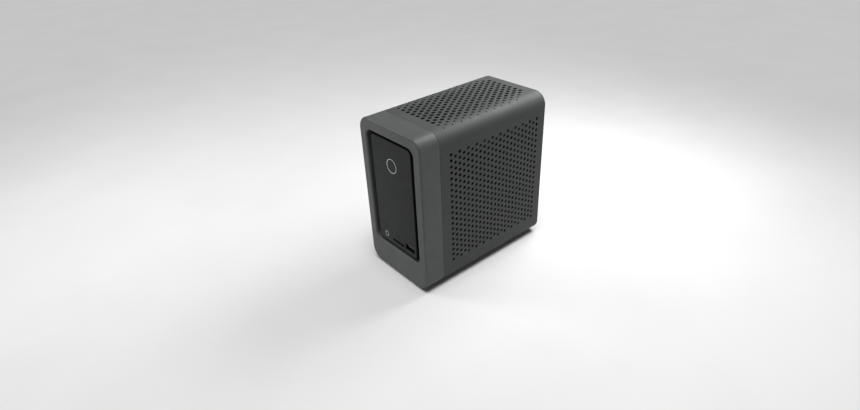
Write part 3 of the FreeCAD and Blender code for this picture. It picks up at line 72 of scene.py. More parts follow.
class Finish:
    """One material's node tree, built step by step. Sizes are millimetres on the object."""

    def __init__(self, name, colour=None, metallic=0.0, edge=0.25):
        self.colour = colour
        self.material = bpy.data.materials.new(name)
        self.material.use_nodes = True
        self.tree = self.material.node_tree
        self.shader = self.tree.nodes["Principled BSDF"]
        self.shader.inputs["Metallic"].default_value = metallic
        coords = self.node("TexCoord").outputs["Object"]
        self.place = self.vector("SCALE", coords, 1 / MM)
        self.normal = None
        if edge:
            self.normal = self.rounded_normal(edge, BEVEL_SAMPLES)

    def node(self, kind, **settings):
        """A new node of the tree, given its kind without Blender's prefix."""
        made = self.tree.nodes.new("ShaderNode" + kind)
        for key, value in settings.items():
            setattr(made, key, value)
        return made

    def feed(self, socket, value):
        """Plugs a node's output, or a plain value, into an input."""
        if isinstance(value, bpy.types.NodeSocket):
            self.tree.links.new(value, socket)
        elif socket.type == "RGBA" and len(value) == 3:
            socket.default_value = (*value, 1)
        else:
            socket.default_value = value

    def vector(self, operation, a, b):
        made = self.node("VectorMath", operation=operation)
        self.feed(made.inputs[0], a)
        self.feed(made.inputs["Scale" if operation == "SCALE" else 1], b)
        return made.outputs["Value" if operation == "DOT_PRODUCT" else "Vector"]

    def math(self, operation, a, b=0.0):
        made = self.node("Math", operation=operation)
        self.feed(made.inputs[0], a)
        self.feed(made.inputs[1], b)
        return made.outputs[0]

    def texture(self, kind, size, stretch, **settings):
        """A pattern whose cells are about size across, and longer along the axes in stretch."""
        made = self.node(kind, **settings)
        per_axis = [1 / (size * s) for s in stretch]
        self.feed(made.inputs["Vector"], self.vector("MULTIPLY", self.place, per_axis))
        made.inputs["Scale"].default_value = 1.0
        return made

    def noise(self, size, detail=2.0, stretch=ROUND, distortion=0.0):
        """Cloudy noise, 0 to 1."""
        made = self.texture("TexNoise", size, stretch)
        made.inputs["Detail"].default_value = detail
        made.inputs["Distortion"].default_value = distortion
        return made.outputs[0]

    def cells(self, size, output="Distance", **settings):
        """Irregular cells round scattered points: the distance to them, or a colour for each."""
        return self.texture("TexVoronoi", size, ROUND, **settings).outputs[output]

    def remap(self, value, low, high, to_low=0.0, to_high=1.0):
        made = self.node("MapRange")
        for socket, number in zip(made.inputs, (value, low, high, to_low, to_high)):
            self.feed(socket, number)
        return made.outputs[0]

    def spread(self, pattern, to_low=0.0, to_high=1.0):
        """A noise pattern spread over the range asked for."""
        return self.remap(pattern, *NOISE_BODY, to_low, to_high)

    def patches(self, pattern, strength):
        """0 over most of a noise pattern, up to strength where it is high."""
        return self.remap(pattern, *UPPER_NOISE, 0.0, strength)

    def blend(self, factor, a, b):
        made = self.node("Mix", data_type="RGBA", blend_type="MIX")
        self.feed(made.inputs[0], factor)
        self.feed(made.inputs[6], a)
        self.feed(made.inputs[7], b)
        return made.outputs[2]

    def shades(self, factor, dark, bright):
        """The finish's own colour, varied between two multiples of it."""
        return self.blend(factor, scaled(self.colour, dark), scaled(self.colour, bright))

    def towards(self, factor, tone, times):
        """A tone, drawn towards a multiple of the finish's own colour."""
        return self.blend(factor, tone, scaled(self.colour, times))

    def bump(self, height, depth):
        """Raises the surface by height times depth."""
        made = self.node("Bump")
        made.inputs["Distance"].default_value = depth * MM
        self.feed(made.inputs["Height"], height)
        if self.normal:
            self.feed(made.inputs["Normal"], self.normal)
        self.normal = made.outputs["Normal"]

    def rounded_normal(self, radius, samples):
        made = self.node("Bevel", samples=samples)
        made.inputs["Radius"].default_value = radius * MM
        return made.outputs["Normal"]

    def edges(self, reach):
        """1 along convex and concave edges within reach, 0 on the flats."""
        rounded = self.rounded_normal(reach, EDGE_SAMPLES)
        flat = self.node("NewGeometry").outputs["Normal"]
        return self.remap(self.vector("DOT_PRODUCT", rounded, flat), *EDGE_COSINE)

    def axis(self, name):
        """One coordinate of the frame."""
        split = self.node("SeparateXYZ")
        self.feed(split.inputs[0], self.place)
        return split.outputs[name]

    def done(self, tone, roughness, **others):
        self.feed(self.shader.inputs["Base Color"], tone)
        self.feed(self.shader.inputs["Roughness"], roughness)
        if self.normal:
            self.feed(self.shader.inputs["Normal"], self.normal)
        for name, value in others.items():
            self.feed(self.shader.inputs[name.replace("_", " ")], value)
        return self.material


def powder_coat(name, colour, grain=0.45, edge_paling=0.35, gloss=0.3):
    """Fine matt paint over metal: orange peel, soft mottling, paler rubbed edges, a little dust."""
    f = Finish(name, colour, edge=0.3)
    cloud = f.noise(size=38, detail=3)
    peel = f.noise(grain, detail=3)
    speck = f.cells(size=0.7)
    tone = f.shades(f.spread(cloud), dark=0.93, bright=1.07)
    tone = f.towards(f.remap(peel, 0.35, 0.65, 0.0, 0.22), tone, times=1.5)
    rubbed = f.math("MULTIPLY", f.edges(0.5), f.remap(f.noise(size=6, detail=4), *UPPER_NOISE))
    tone = f.towards(f.math("MULTIPLY", rubbed, edge_paling), tone, times=2.4)
    f.bump(peel, depth=0.035)
    f.bump(speck, depth=0.012)
    rough = f.math("ADD", f.spread(cloud, 0.52, 0.62), f.remap(f.noise(size=2.2), 0.4, 0.7, 0.0, 0.06))
    return f.done(tone, rough, Specular_IOR_Level=gloss)


def moulded(name, colour, roughness=0.5, grain=0.3, depth=0.02, edge_paling=0.25, edge_paling_reach=0.35):
    """Injection-moulded plastic with a fine spark-eroded grain, slight flow clouding and paler edges, which
    are wear and, where strong, also a painted highlight.
    """
    f = Finish(name, colour, edge=0.2)
    grit = f.noise(grain, detail=4)
    flow = f.noise(size=24, detail=2, distortion=0.6)
    tone = f.shades(f.spread(flow), dark=0.94, bright=1.06)
    tone = f.towards(f.spread(grit, 0.0, 0.16), tone, times=1.45)
    # Paler edges: rubbed wear on every moulded part. Where the paling is strong and wide, as on the bezel,
    # it is also a painted highlight.
    wear_and_sheen = f.math("MULTIPLY", f.edges(edge_paling_reach), f.remap(f.noise(size=4, detail=4), 0.3, 0.6, 0.5, 1.0))
    tone = f.towards(f.math("MULTIPLY", wear_and_sheen, edge_paling), tone, times=2.2)
    f.bump(grit, depth)
    rough = f.spread(f.noise(size=9, detail=4), roughness - 0.05, roughness + 0.06)
    return f.done(tone, rough, Specular_IOR_Level=0.35)


def satin_panel(name, colour):
    """Smooth dark plastic with hair-fine scratches and faint finger smears."""
    f = Finish(name, colour, edge=0.2)
    hair = f.noise(size=0.5, detail=3, stretch=(1, 1, 60))
    smear = f.noise(size=14, detail=5, distortion=1.2)
    dust = f.remap(f.cells(size=1.6), 0.03, 0.10, 1.0, 0.0)
    tone = f.shades(f.remap(smear, 0.35, 0.7), dark=0.95, bright=1.08)
    tone = f.towards(f.math("MULTIPLY", dust, 0.10), tone, times=3.0)
    f.bump(hair, depth=0.003)
    f.bump(f.noise(size=0.25, detail=2), depth=0.006)
    rough = f.math("ADD", f.spread(smear, 0.34, 0.46), f.remap(hair, 0.4, 0.7, 0.0, 0.05))
    return f.done(tone, rough, Specular_IOR_Level=0.13)


def rubber(name, colour):
    """Dull rubber with open pores."""
    f = Finish(name, colour, edge=0.3)
    pores = f.noise(size=0.35, detail=5)
    tone = f.shades(f.spread(f.noise(size=5, detail=3)), dark=0.8, bright=1.5)
    f.bump(pores, depth=0.05)
    return f.done(tone, f.spread(pores, 0.7, 0.86), Specular_IOR_Level=0.3)


def metal(name, colour, roughness=0.3, brush=ROUND):
    """Metal with brush or turning marks, slight tarnish and brighter edges."""
    f = Finish(name, colour, metallic=1.0, edge=0.15)
    lines = f.noise(size=0.15, detail=3, stretch=brush)
    cloud = f.noise(size=12, detail=4)
    tone = f.shades(f.remap(lines, 0.25, 0.75), dark=0.86, bright=1.08)
    tone = f.towards(f.patches(cloud, 0.15), tone, times=0.45)
    tone = f.towards(f.math("MULTIPLY", f.edges(0.2), 0.4), tone, times=1.3)
    f.bump(lines, depth=0.006)
    rough = f.math("ADD", f.spread(cloud, roughness - 0.05, roughness + 0.08), f.spread(lines, -0.04, 0.05))
    return f.done(tone, rough)


def zinc_sheet(name, colour):
    """Galvanised sheet: crystal spangle under a dull grey film."""
    f = Finish(name, colour, metallic=1.0, edge=0.2)
    spangle = f.node("RGBToBW")
    f.feed(spangle.inputs[0], f.cells(size=7, output="Color", distance="EUCLIDEAN"))
    crystal = spangle.outputs[0]
    tone = f.shades(f.remap(crystal, 0.1, 0.9), dark=0.82, bright=1.12)
    tone = f.towards(f.patches(f.noise(size=18, detail=5), 0.3), tone, times=0.6)
    f.bump(f.noise(size=0.3, detail=3, stretch=(12, 12, 1)), depth=0.004)
    return f.done(tone, f.remap(crystal, 0.1, 0.9, 0.34, 0.50))


def circuit_board(name, colour):
    """Solder mask over copper: right-angled traces, poured areas and plated vias."""
    f = Finish(name, colour, edge=0.0)
    runs = f.cells(size=3.4, distance="CHEBYCHEV", feature="F2")
    lanes = f.math("PINGPONG", f.math("MULTIPLY", runs, TRACE_LANES), 0.5)
    traces = f.remap(lanes, 0.20, 0.26)
    pour = f.remap(f.cells(size=9.0, distance="MANHATTAN"), 0.50, 0.52)
    copper = f.math("MAXIMUM", traces, pour)
    vias = f.remap(f.cells(size=2.6), 0.10, 0.13, 1.0, 0.0)
    tone = f.shades(copper, dark=0.75, bright=1.7)
    tone = f.blend(f.math("MULTIPLY", vias, 0.8), tone, VIA_GOLD)
    tone = f.towards(f.remap(f.noise(size=20, detail=4), 0.4, 0.7, 0.0, 0.25), tone, times=0.7)
    f.bump(copper, depth=0.03)
    f.bump(vias, depth=0.02)
    return f.done(tone, f.spread(f.noise(size=3, detail=3), 0.28, 0.42))


def painted_glow_ring(name, colour):
    """Milky light-grey plastic ring. It holds no lamp; its emission is a painted glow that brightens it."""
    f = Finish(name, colour, edge=0.15)
    haze = f.noise(size=1.8, detail=3)
    tone = f.shades(f.spread(haze), dark=0.93, bright=1.0)
    f.bump(f.noise(size=0.3, detail=2), depth=0.004)
    # The emission is a painted glow: the ring holds no lamp.
    return f.done(tone, f.spread(haze, 0.3, 0.42), Emission_Color=tone, Emission_Strength=PAINTED_RING_GLOW)


def label_film(name, colour):
    """A blank sticker: slightly uneven, with a paper tooth."""
    f = Finish(name, colour, edge=0.0)
    tooth = f.noise(size=0.4, detail=4)
    tone = f.shades(f.spread(f.noise(size=11, detail=3)), dark=0.93, bright=1.0)
    f.bump(tooth, depth=0.008)
    return f.done(tone, f.spread(tooth, 0.42, 0.55))


def woven_mesh(name, colour, pitch=0.7):
    """Dark nylon net: threads crossing over and under, with the gaps between them painted near-black as
    painted shade.
    """
    f = Finish(name, colour, edge=0.0)
    waves = [f.math("SINE", f.math("MULTIPLY", f.axis(axis), math.pi / pitch)) for axis in "YZ"]
    across, along = [f.remap(f.math("ABSOLUTE", wave), 0.55, 0.9) for wave in waves]
    threads = f.math("MAXIMUM", across, along)
    # The gaps get a quarter of the thread colour: painted shade for their depth.
    tone = f.shades(threads, dark=0.25, bright=1.3)
    tone = f.towards(f.remap(f.noise(size=7, detail=5), 0.5, 0.8, 0.0, 0.5), tone, times=2.2)
    f.bump(threads, depth=0.2)
    return f.done(tone, f.remap(threads, 0, 1, 0.9, 0.6), Specular_IOR_Level=0.3)


def gold_fingers(name):
    """Gold-plated contact strips with thin dark gaps between them."""
    f = Finish(name, edge=0.0)
    lanes = f.math("PINGPONG", f.math("ADD", f.axis("Y"), f.axis("Z")), 0.25)
    plated = f.remap(lanes, 0.06, 0.09)
    gold = f.blend(f.noise(size=3, detail=3), *CONTACT_GOLD)
    f.bump(plated, depth=0.03)
    return f.done(f.blend(plated, CONTACT_GAP, gold), CONTACT_ROUGHNESS, Metallic=plated)


# The CAD frame's material slots.
FINISHES = {
    "shell_paint": powder_coat("shell_paint_finish", (0.0451, 0.0479, 0.0465), gloss=0.25),
    # The bezel's edge paling is raised and reaches across its rounded front edges: wear, and also a painted
    # highlight along them.
    "bezel_plastic": moulded("bezel_plastic_finish", (0.0582, 0.0618, 0.0600),
                             roughness=0.42, edge_paling=0.45, edge_paling_reach=1.3),
    "panel_plastic": satin_panel("panel_plastic_finish", (0.010, 0.011, 0.012)),
    "filter_mesh": woven_mesh("filter_mesh_finish", (0.012, 0.012, 0.013)),
    "black_plastic": moulded("black_plastic_finish", (0.016, 0.016, 0.017), grain=0.25),
    "ring_plastic": painted_glow_ring("ring_plastic_finish", (0.42, 0.43, 0.42)),
    "foot_rubber": rubber("foot_rubber_finish", (0.025, 0.025, 0.026)),
    "board_laminate": circuit_board("board_laminate_finish", (0.012, 0.035, 0.022)),
    "sheet_steel": zinc_sheet("sheet_steel_finish", (0.060, 0.061, 0.064)),
    "rear_paint": powder_coat("rear_paint_finish", (0.030, 0.031, 0.032)),
    "port_steel": metal("port_steel_finish", (0.60, 0.60, 0.61), brush=(8, 1, 8)),
    "dark_nickel": metal("dark_nickel_finish", (0.080, 0.080, 0.084), brush=(8, 1, 8)),
    "screw_steel": metal("screw_steel_finish", (0.30, 0.30, 0.31), roughness=0.38),
    "insert_brass": metal("insert_brass_finish", (0.72, 0.55, 0.25), brush=(1, 6, 6)),
    "sink_aluminium": metal("sink_aluminium_finish", (0.72, 0.73, 0.74), roughness=0.36, brush=(1, 1, 30)),
    "fan_plastic": moulded("fan_plastic_finish", (0.028, 0.028, 0.030),
                           roughness=0.42, grain=0.5, depth=0.01),
    "lens_plastic": satin_panel("lens_plastic_finish", (0.010, 0.010, 0.012)),
    "drive_case": metal("drive_case_finish", (0.50, 0.51, 0.52), roughness=0.42),
    "choke_grey": moulded("choke_grey_finish", (0.16, 0.16, 0.16), roughness=0.7, depth=0.05),
    "can_aluminium": metal("can_aluminium_finish", (0.78, 0.78, 0.80), roughness=0.25),
    "cell_wrap": satin_panel("cell_wrap_finish", (0.55, 0.42, 0.05)),
}

# Finishes of the extra pieces, which the CAD frame doesn't have.
CHIP = moulded("chip_finish", (0.018, 0.018, 0.020), roughness=0.45, grain=0.2)
TIN = metal("tin_finish", (0.70, 0.70, 0.71))
GOLD = gold_fingers("gold_finger_finish")
IVORY = moulded("ivory_plastic_finish", (0.55, 0.52, 0.44))
BLACK = moulded("connector_plastic_finish", (0.020, 0.020, 0.022), roughness=0.45)
RESISTOR = moulded("resistor_finish", (0.030, 0.028, 0.026), roughness=0.35, grain=0.15)
CERAMIC = moulded("ceramic_finish", (0.30, 0.20, 0.11), roughness=0.55, grain=0.15)
STICKER = label_film("sticker_finish", (0.62, 0.63, 0.63))
DARK_STICKER = label_film("dark_sticker_finish", (0.035, 0.037, 0.042))
RED_SLEEVE = moulded("red_sleeve_finish", (0.30, 0.015, 0.012), grain=0.4)
WIRE_SLEEVE = moulded("wire_sleeve_finish", (0.014, 0.014, 0.015), roughness=0.55, grain=0.4)
FLEX = satin_panel("flex_cable_finish", (0.16, 0.07, 0.015))


def paint_nodes():
    """Every CAD node takes the finish of its own material slot."""
    for subpart in frame["record"]["subparts"]:
        for place in NODES[subpart["node"]].material_slots:
            place.material = FINISHES[subpart["material_slot"]]


# ---- tools for the extra pieces -----------------------------------------------------------
CASE = "case"
TRAY = "inner_tray"
TURNED_TO = {
    "x": Matrix.Rotation(math.pi / 2, 4, "Y"),
    "z": Matrix.Identity(4),
}
ROUNDING_STEPS = 2     # facets across a rounded edge
WIRE_FACETS = 3
WIRE_STEPS = 10        # along each stretch between two points of a wire


def link(made):
    """Puts an object into the scene and hands it back."""
    bpy.context.scene.collection.objects.link(made)
    return made


def span(node):
    """x0, x1, y0, y1, z0, z1 of a CAD node at rest."""
    low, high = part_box(node)
    return [value / MM for pair in zip(low, high) for value in pair]


def joint_point(joint):
    """The point that a joint of the record turns about."""
    for entry in frame["record"]["behaviour"]["joints"]:
        if entry["name"] == joint:
            return [value / MM for value in entry["pos_m"]]
    raise ValueError(joint)


class Model:
    """A mesh built up from blocks and rods that rides on one body."""

    def __init__(self, name, body):
        self.name = name
        self.body = body
        self.finishes = []
        self.mesh = bmesh.new()

    def added(self, verts, finish, soften=0.0):
        """Gives new geometry its finish and rounds its edges."""
        if finish not in self.finishes:
            self.finishes.append(finish)
        faces = list(dict.fromkeys(face for vert in verts for face in vert.link_faces))
        for face in faces:
            face.material_index = self.finishes.index(finish)
        if soften:
            edges = list(dict.fromkeys(edge for face in faces for edge in face.edges))
            bmesh.ops.bevel(self.mesh, geom=edges, offset=soften, segments=ROUNDING_STEPS,
                            affect="EDGES", material=-1)

    def block(self, x0, x1, y0, y1, z0, z1, finish, soften=0.0):
        """A box between two planes on each axis."""
        size = Matrix.Diagonal((x1 - x0, y1 - y0, z1 - z0, 1))
        middle = Matrix.Translation(((x0 + x1) / 2, (y0 + y1) / 2, (z0 + z1) / 2))
        verts = bmesh.ops.create_cube(self.mesh, size=1, matrix=middle @ size)["verts"]
        self.added(verts, finish, soften)

    def pad(self, x0, x1, y, z, half_y, half_z, finish, soften=0.0):
        """A block from x0 to x1 whose middle is at y and z."""
        self.block(x0, x1, y - half_y, y + half_y, z - half_z, z + half_z, finish, soften)

    def rod(self, axis, start, radius, length, finish, sides=20):
        """A cylinder from a start point along +X or +Z."""
        place = Matrix.Translation(start) @ TURNED_TO[axis] @ Matrix.Translation((0, 0, length / 2))
        verts = bmesh.ops.create_cone(self.mesh, cap_ends=True, segments=sides, radius1=radius,
                                      radius2=radius, depth=length, matrix=place)["verts"]
        self.added(verts, finish)

    def sort_faces(self):
        """Puts the faces in the order of their corners, since rounding leaves them in any order."""
        self.mesh.verts.index_update()
        ranked = sorted(self.mesh.faces, key=lambda face: sorted(vert.index for vert in face.verts))
        rank = {face: place for place, face in enumerate(ranked)}
        self.mesh.faces.sort(key=rank.get)

    def done(self):
        """Makes the model an object of the scene and puts it on its body."""
        data = bpy.data.meshes.new(self.name)
        self.sort_faces()
        self.mesh.transform(Matrix.Scale(MM, 4))
        self.mesh.to_mesh(data)
        self.mesh.free()
        for finish in self.finishes:
            data.materials.append(finish)
        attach(link(bpy.data.objects.new(self.name, data)), self.body)


def cable(name, body, finish, radius, points):
    """A round wire that runs smoothly through points."""
    data = bpy.data.curves.new(name, "CURVE")
    data.dimensions = "3D"
    data.bevel_depth = radius * MM
    data.bevel_resolution = WIRE_FACETS
    data.resolution_u = WIRE_STEPS
    path = data.splines.new("BEZIER")
    path.bezier_points.add(len(points) - 1)
    for knot, point in zip(path.bezier_points, points):
        knot.co = [value * MM for value in point]
        knot.handle_left_type = knot.handle_right_type = "AUTO"
    data.materials.append(finish)
    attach(link(bpy.data.objects.new(name, data)), body)


# ---- parts of the main board --------------------------------------------------------------
SUNK = 0.02            # stickers and contacts reach this far into what they lie on
FILM = 0.08            # thickness of a sticker above its surface
THIN_FILM = 0.05
PLATING = 0.06
LEAD_PITCH = 1.1
LEAD_WIDTH = 0.45
LEAD_HEIGHT = 0.35
LEAD_REACH = 0.7       # how far a chip's legs stand out of its sides
LEAD_ROOT = 0.1
FIRST_LEAD = 0.5
CHIP_ROUNDING = 0.12
BOARD_SEED = 41
# size along y, size along z, height, places tried
CHIP_KINDS = ((6.0, 6.0, 1.1, 72), (2.2, 3.4, 1.3, 144))
CHIP_GAP_Y = 1.2
CHIP_GAP_Z = 0.5
SMALL_TRIES = 1500
SMALL_HALVES = (0.9, 0.45)
SMALL_GAP = 0.25
SMALL_CAP_HEIGHT = 0.55
SMALL_BODY_HEIGHT = 0.60
SMALL_BODY_SHARE = (0.6, 0.9)
SMALL_ROUNDING = 0.08
LYING_SHARE = 0.5      # of the small parts that lie along y
BOARD_MARGIN = 1
SCREW_PLACES = ((-44.0, 13.5), (50.0, 13.5), (50.0, 126.0), (-11.0, 126.0))    # y, z
CELL_PLUG_PLACE = (-45.0, 22.0)
KEPT_CLEAR = 4         # round each screw and the battery's plug
CAN_DIAMETER = 6
CAN_PAIR_HEIGHT = 14
ON_BOARD = ("heatsink", "memory_modules", "memory_sockets", "wifi_card", "ssd_stick", "ssd_socket",
            "ssd_screw", "power_chokes", "power_inlet", "hdmi_port", "display_port", "usb_c_port",
            "lan_port", "usb_stack_ports")


class BoardPlan:
    """What is taken of the main board's face, as rectangles of y0, y1, z0, z1."""

    def __init__(self):
        self.limits = span("main_board")[2:]
        self.taken = [span(node)[2:] for node in ON_BOARD]
        _, _, can_y0, can_y1, can_z0, can_z1 = span("capacitors")
        self.taken.append([can_y0, can_y1, can_z0, can_z0 + CAN_DIAMETER])
        self.taken.append([can_y1 - CAN_DIAMETER, can_y1, can_z1 - CAN_PAIR_HEIGHT, can_z1])
        for y, z in (*SCREW_PLACES, CELL_PLUG_PLACE):
            self.taken.append([y - KEPT_CLEAR, y + KEPT_CLEAR, z - KEPT_CLEAR, z + KEPT_CLEAR])

    def any_place(self, dice):
        """y and z of a place anywhere on the board."""
        y0, y1, z0, z1 = self.limits
        return dice.uniform(y0, y1), dice.uniform(z0, z1)

    def claim(self, y, z, half_y, half_z):
        """Takes the room around y and z, if it is free and on the board."""
        low_y, high_y = y - half_y, y + half_y
        low_z, high_z = z - half_z, z + half_z
        y0, y1, z0, z1 = self.limits
        if low_y < y0 + BOARD_MARGIN or high_y > y1 - BOARD_MARGIN:
            return False
        if low_z < z0 + BOARD_MARGIN or high_z > z1 - BOARD_MARGIN:
            return False
        if any(high_y > a0 and low_y < a1 and high_z > b0 and low_z < b1 for a0, a1, b0, b1 in self.taken):
            return False
        self.taken.append([low_y, high_y, low_z, high_z])
        return True


def leaded_chip(model, x, y, z, half_y, half_z, height):
    """A black package with tin legs along its two long sides."""
    model.pad(x, x + height, y, z, half_y, half_z, CHIP, CHIP_ROUNDING)
    sides = ((y - half_y - LEAD_REACH, y - half_y + LEAD_ROOT),
             (y + half_y - LEAD_ROOT, y + half_y + LEAD_REACH))
    for k in range(int(half_z * 2 / LEAD_PITCH)):
        low = z - half_z + FIRST_LEAD + LEAD_PITCH * k
        for y0, y1 in sides:
            model.block(x, x + LEAD_HEIGHT, y0, y1, low, low + LEAD_WIDTH, TIN)


def scatter_chips(model, face, plan, dice):
    for size_y, size_z, height, tries in CHIP_KINDS:
        for _ in range(tries):
            y, z = plan.any_place(dice)
            if plan.claim(y, z, size_y / 2 + CHIP_GAP_Y, size_z / 2 + CHIP_GAP_Z):
                leaded_chip(model, face, y, z, size_y / 2, size_z / 2, height)


def scatter_small_parts(model, face, plan, dice):
    """Resistors and ceramic capacitors: a body between two tin caps."""
    long_share, wide_share = SMALL_BODY_SHARE
    for _ in range(SMALL_TRIES):
        y, z = plan.any_place(dice)
        half_y, half_z = SMALL_HALVES if dice.random() < LYING_SHARE else SMALL_HALVES[::-1]
        if plan.claim(y, z, half_y + SMALL_GAP, half_z + SMALL_GAP):
            body = dice.choice((RESISTOR, RESISTOR, CERAMIC))
            model.pad(face, face + SMALL_CAP_HEIGHT, y, z, half_y, half_z, TIN, SMALL_ROUNDING)
            model.pad(face, face + SMALL_BODY_HEIGHT, y, z, half_y * long_share, half_z * wide_share, body)


def main_board_parts():
    """Small parts in the free areas of the main board."""
    dice = random.Random(BOARD_SEED)
    plan = BoardPlan()
    face = span("main_board")[1]
    model = Model("main_board_parts", TRAY)
    scatter_chips(model, face, plan, dice)
    scatter_small_parts(model, face, plan, dice)
    model.done()


PIN_PITCH = 2.54
PIN_HALF = 0.3
PIN_ROOT = 2.0
PIN_TOP = 7.5
HEADER_HEIGHT = 2.6
HEADER_ROUNDING = 0.15
FAN_HEADER = (56.0, 5.5)       # y, distance below the board's upper edge
FRONT_HEADER = (10.0, 2.5)     # y, distance above the board's lower edge


def board_headers():
    """Pin headers along the board's edges: one for the cooler's fan, one for the front wires."""
    _, face, _, _, z0, z1 = span("main_board")
    model = Model("board_headers", TRAY)
    fan_y, below = FAN_HEADER
    front_y, above = FRONT_HEADER
    fan_header = (fan_y, z1 - below, 4, 1, IVORY)
    front_header = (front_y, z0 + above, 10, 2, BLACK)
    for y, z, pins, rows, body in (fan_header, front_header):
        half_y = pins * PIN_PITCH / 2
        half_z = rows * PIN_PITCH / 2
        model.pad(face, face + HEADER_HEIGHT, y, z, half_y, half_z, body, HEADER_ROUNDING)
        for k in range(pins):
            for row in range(rows):
                pin_y = y - half_y + PIN_PITCH * (k + 0.5)
                pin_z = z - half_z + PIN_PITCH * (row + 0.5)
                model.pad(face + PIN_ROOT, face + PIN_TOP, pin_y, pin_z, PIN_HALF, PIN_HALF, GOLD)
    model.done()


FRAME_BAR = 3.4        # width of the processor's hold-down frame along its top and bottom
FRAME_SIDE = 2.2
FRAME_INSET = 0.4
FRAME_SIDE_INSET = 0.3
FRAME_LENGTH_INSET = 1
FRAME_LOW = 0.1        # the frame's metal starts this far below the socket's face
FRAME_HIGH = 0.55
FRAME_ROUNDING = 0.15


def socket_frame():
    """The processor's hold-down frame."""
    _, face, y0, y1, z0, z1 = span("cpu_socket")
    model = Model("socket_frame", TRAY)
    low, high = face - FRAME_LOW, face + FRAME_HIGH
    for bar in (z0, z1 - FRAME_BAR):
        model.block(low, high, y0 + FRAME_LENGTH_INSET, y1 - FRAME_LENGTH_INSET,
                    bar + FRAME_INSET, bar + FRAME_BAR - FRAME_INSET, TIN, FRAME_ROUNDING)
    for side in (y0, y1 - FRAME_SIDE):
        model.block(low, high, side + FRAME_SIDE_INSET, side + FRAME_SIDE,
                    z0 + FRAME_LENGTH_INSET, z1 - FRAME_LENGTH_INSET, TIN, FRAME_ROUNDING)
    model.done()


# ---- cards and drive ----------------------------------------------------------------------
CARD_CHIPS = 0.9       # height of the chips on a memory card
CARD_WIDTH = 32.4
FINGERS_FROM_REAR = (3.4, 0.9)
FINGERS_INSET = 1.5
CARD_STICKER_Y = (13.0, 22.8)      # from the card's front edge
CARD_STICKER_Z = (20, 46.5)        # from the card's lower edge
CARD_SEED = 7
CARD_PARTS = 34
CARD_PART_PITCH = 1.85
FIRST_CARD_PART = 2.5
CARD_PART_SHARE = 0.85             # of the places along the edge that have a part
CARD_PART_FROM_REAR = 5.0
CARD_PART_SCATTER = 0.8
CARD_CAP = (0.45, 0.5, 0.3)        # height, half size along y and z
CARD_BODY = (0.48, 0.28, 0.28)
CLIP_Y = (22.0, 0.5)               # from the socket's rear edge
CLIP_X = (-3.2, 0.1)               # from the socket's face
CLIP_INSET = 0.6
CLIP_HALF = 0.45
CLIP_ROUNDING = 0.1


def memory_details():
    """The cards' gold edge, a blank sticker, small parts by the edge and the socket's steel clips."""
    dice = random.Random(CARD_SEED)
    _, socket_face, _, socket_rear, socket_low, socket_high = span("memory_sockets")
    _, chip_face, y0, _, z0, z1 = span("memory_modules")
    model = Model("memory_details", TRAY)
    face = chip_face - CARD_CHIPS
    rear = y0 + CARD_WIDTH
    far, near = FINGERS_FROM_REAR
    model.block(face - SUNK, face + PLATING, rear - far, rear - near,
                z0 + FINGERS_INSET, z1 - FINGERS_INSET, GOLD)
    sticker_y = [y0 + offset for offset in CARD_STICKER_Y]
    sticker_z = [z0 + offset for offset in CARD_STICKER_Z]
    model.block(chip_face - SUNK, chip_face + FILM, *sticker_y, *sticker_z, STICKER)
    for k in range(CARD_PARTS):
        z = z0 + FIRST_CARD_PART + CARD_PART_PITCH * k
        if dice.random() < CARD_PART_SHARE:
            y = rear - CARD_PART_FROM_REAR - dice.random() * CARD_PART_SCATTER
            for (height, half_y, half_z), finish in ((CARD_CAP, TIN), (CARD_BODY, RESISTOR)):
                model.pad(face, face + height, y, z, half_y, half_z, finish)
    clip_x = [socket_face + offset for offset in CLIP_X]
    clip_y = [socket_rear - offset for offset in CLIP_Y]
    for z in (socket_low + CLIP_INSET, socket_high - CLIP_INSET):
        model.block(*clip_x, *clip_y, z - CLIP_HALF, z + CLIP_HALF, TIN, CLIP_ROUNDING)
    model.done()


STICK_CHIPS = 1.2                  # height of the chips on the solid-state stick
STICK_STICKER_Y = (9.0, 71.0)      # from the stick's front edge
STICK_STICKER_INSET = 3.2
STICK_FINGERS = (4.5, 0.5)         # from the stick's rear edge
STICK_FINGERS_INSET = 1
ANTENNA_INSET = (1.9, 6.0)         # from the radio card's front edge, from its ends
ANTENNA_SOCKET_DEPTH = 1.5
ANTENNA_PIN = (1.0, 1.3)           # radius, length
ANTENNA_COLLAR = (1.4, 0.5)


def antenna_sockets():
    """x of the radio card's face, then y and z of each of its two antenna sockets."""
    _, face, y0, _, z0, z1 = span("wifi_card")
    from_front, from_end = ANTENNA_INSET
    return face, [(y0 + from_front, z0 + from_end), (y0 + from_front, z1 - from_end)]


def stick_details():
    """The solid-state stick's blank sticker and gold edge, and the radio card's antenna sockets."""
    _, chip_face, y0, y1, z0, z1 = span("ssd_stick")
    model = Model("stick_details", TRAY)
    sticker_y = [y0 + offset for offset in STICK_STICKER_Y]
    model.block(chip_face - SUNK, chip_face + FILM, *sticker_y,
                z0 + STICK_STICKER_INSET, z1 - STICK_STICKER_INSET, DARK_STICKER)
    face = chip_face - STICK_CHIPS
    fingers_y = [y1 - offset for offset in STICK_FINGERS]
    model.block(face - SUNK, face + THIN_FILM, *fingers_y,
                z0 + STICK_FINGERS_INSET, z1 - STICK_FINGERS_INSET, GOLD)
    card_face, sockets = antenna_sockets()
    for y, z in sockets:
        for size, finish in ((ANTENNA_PIN, GOLD), (ANTENNA_COLLAR, TIN)):
            model.rod("x", (card_face - ANTENNA_SOCKET_DEPTH, y, z), *size, finish)
    model.done()


DRIVE_STICKER = (12, 22, 8, 0.05)          # from the front, rear and long edges; height
DRIVE_PATCH = (16, 40, 12, 0.04)           # y from the front, inset from the long edges; height
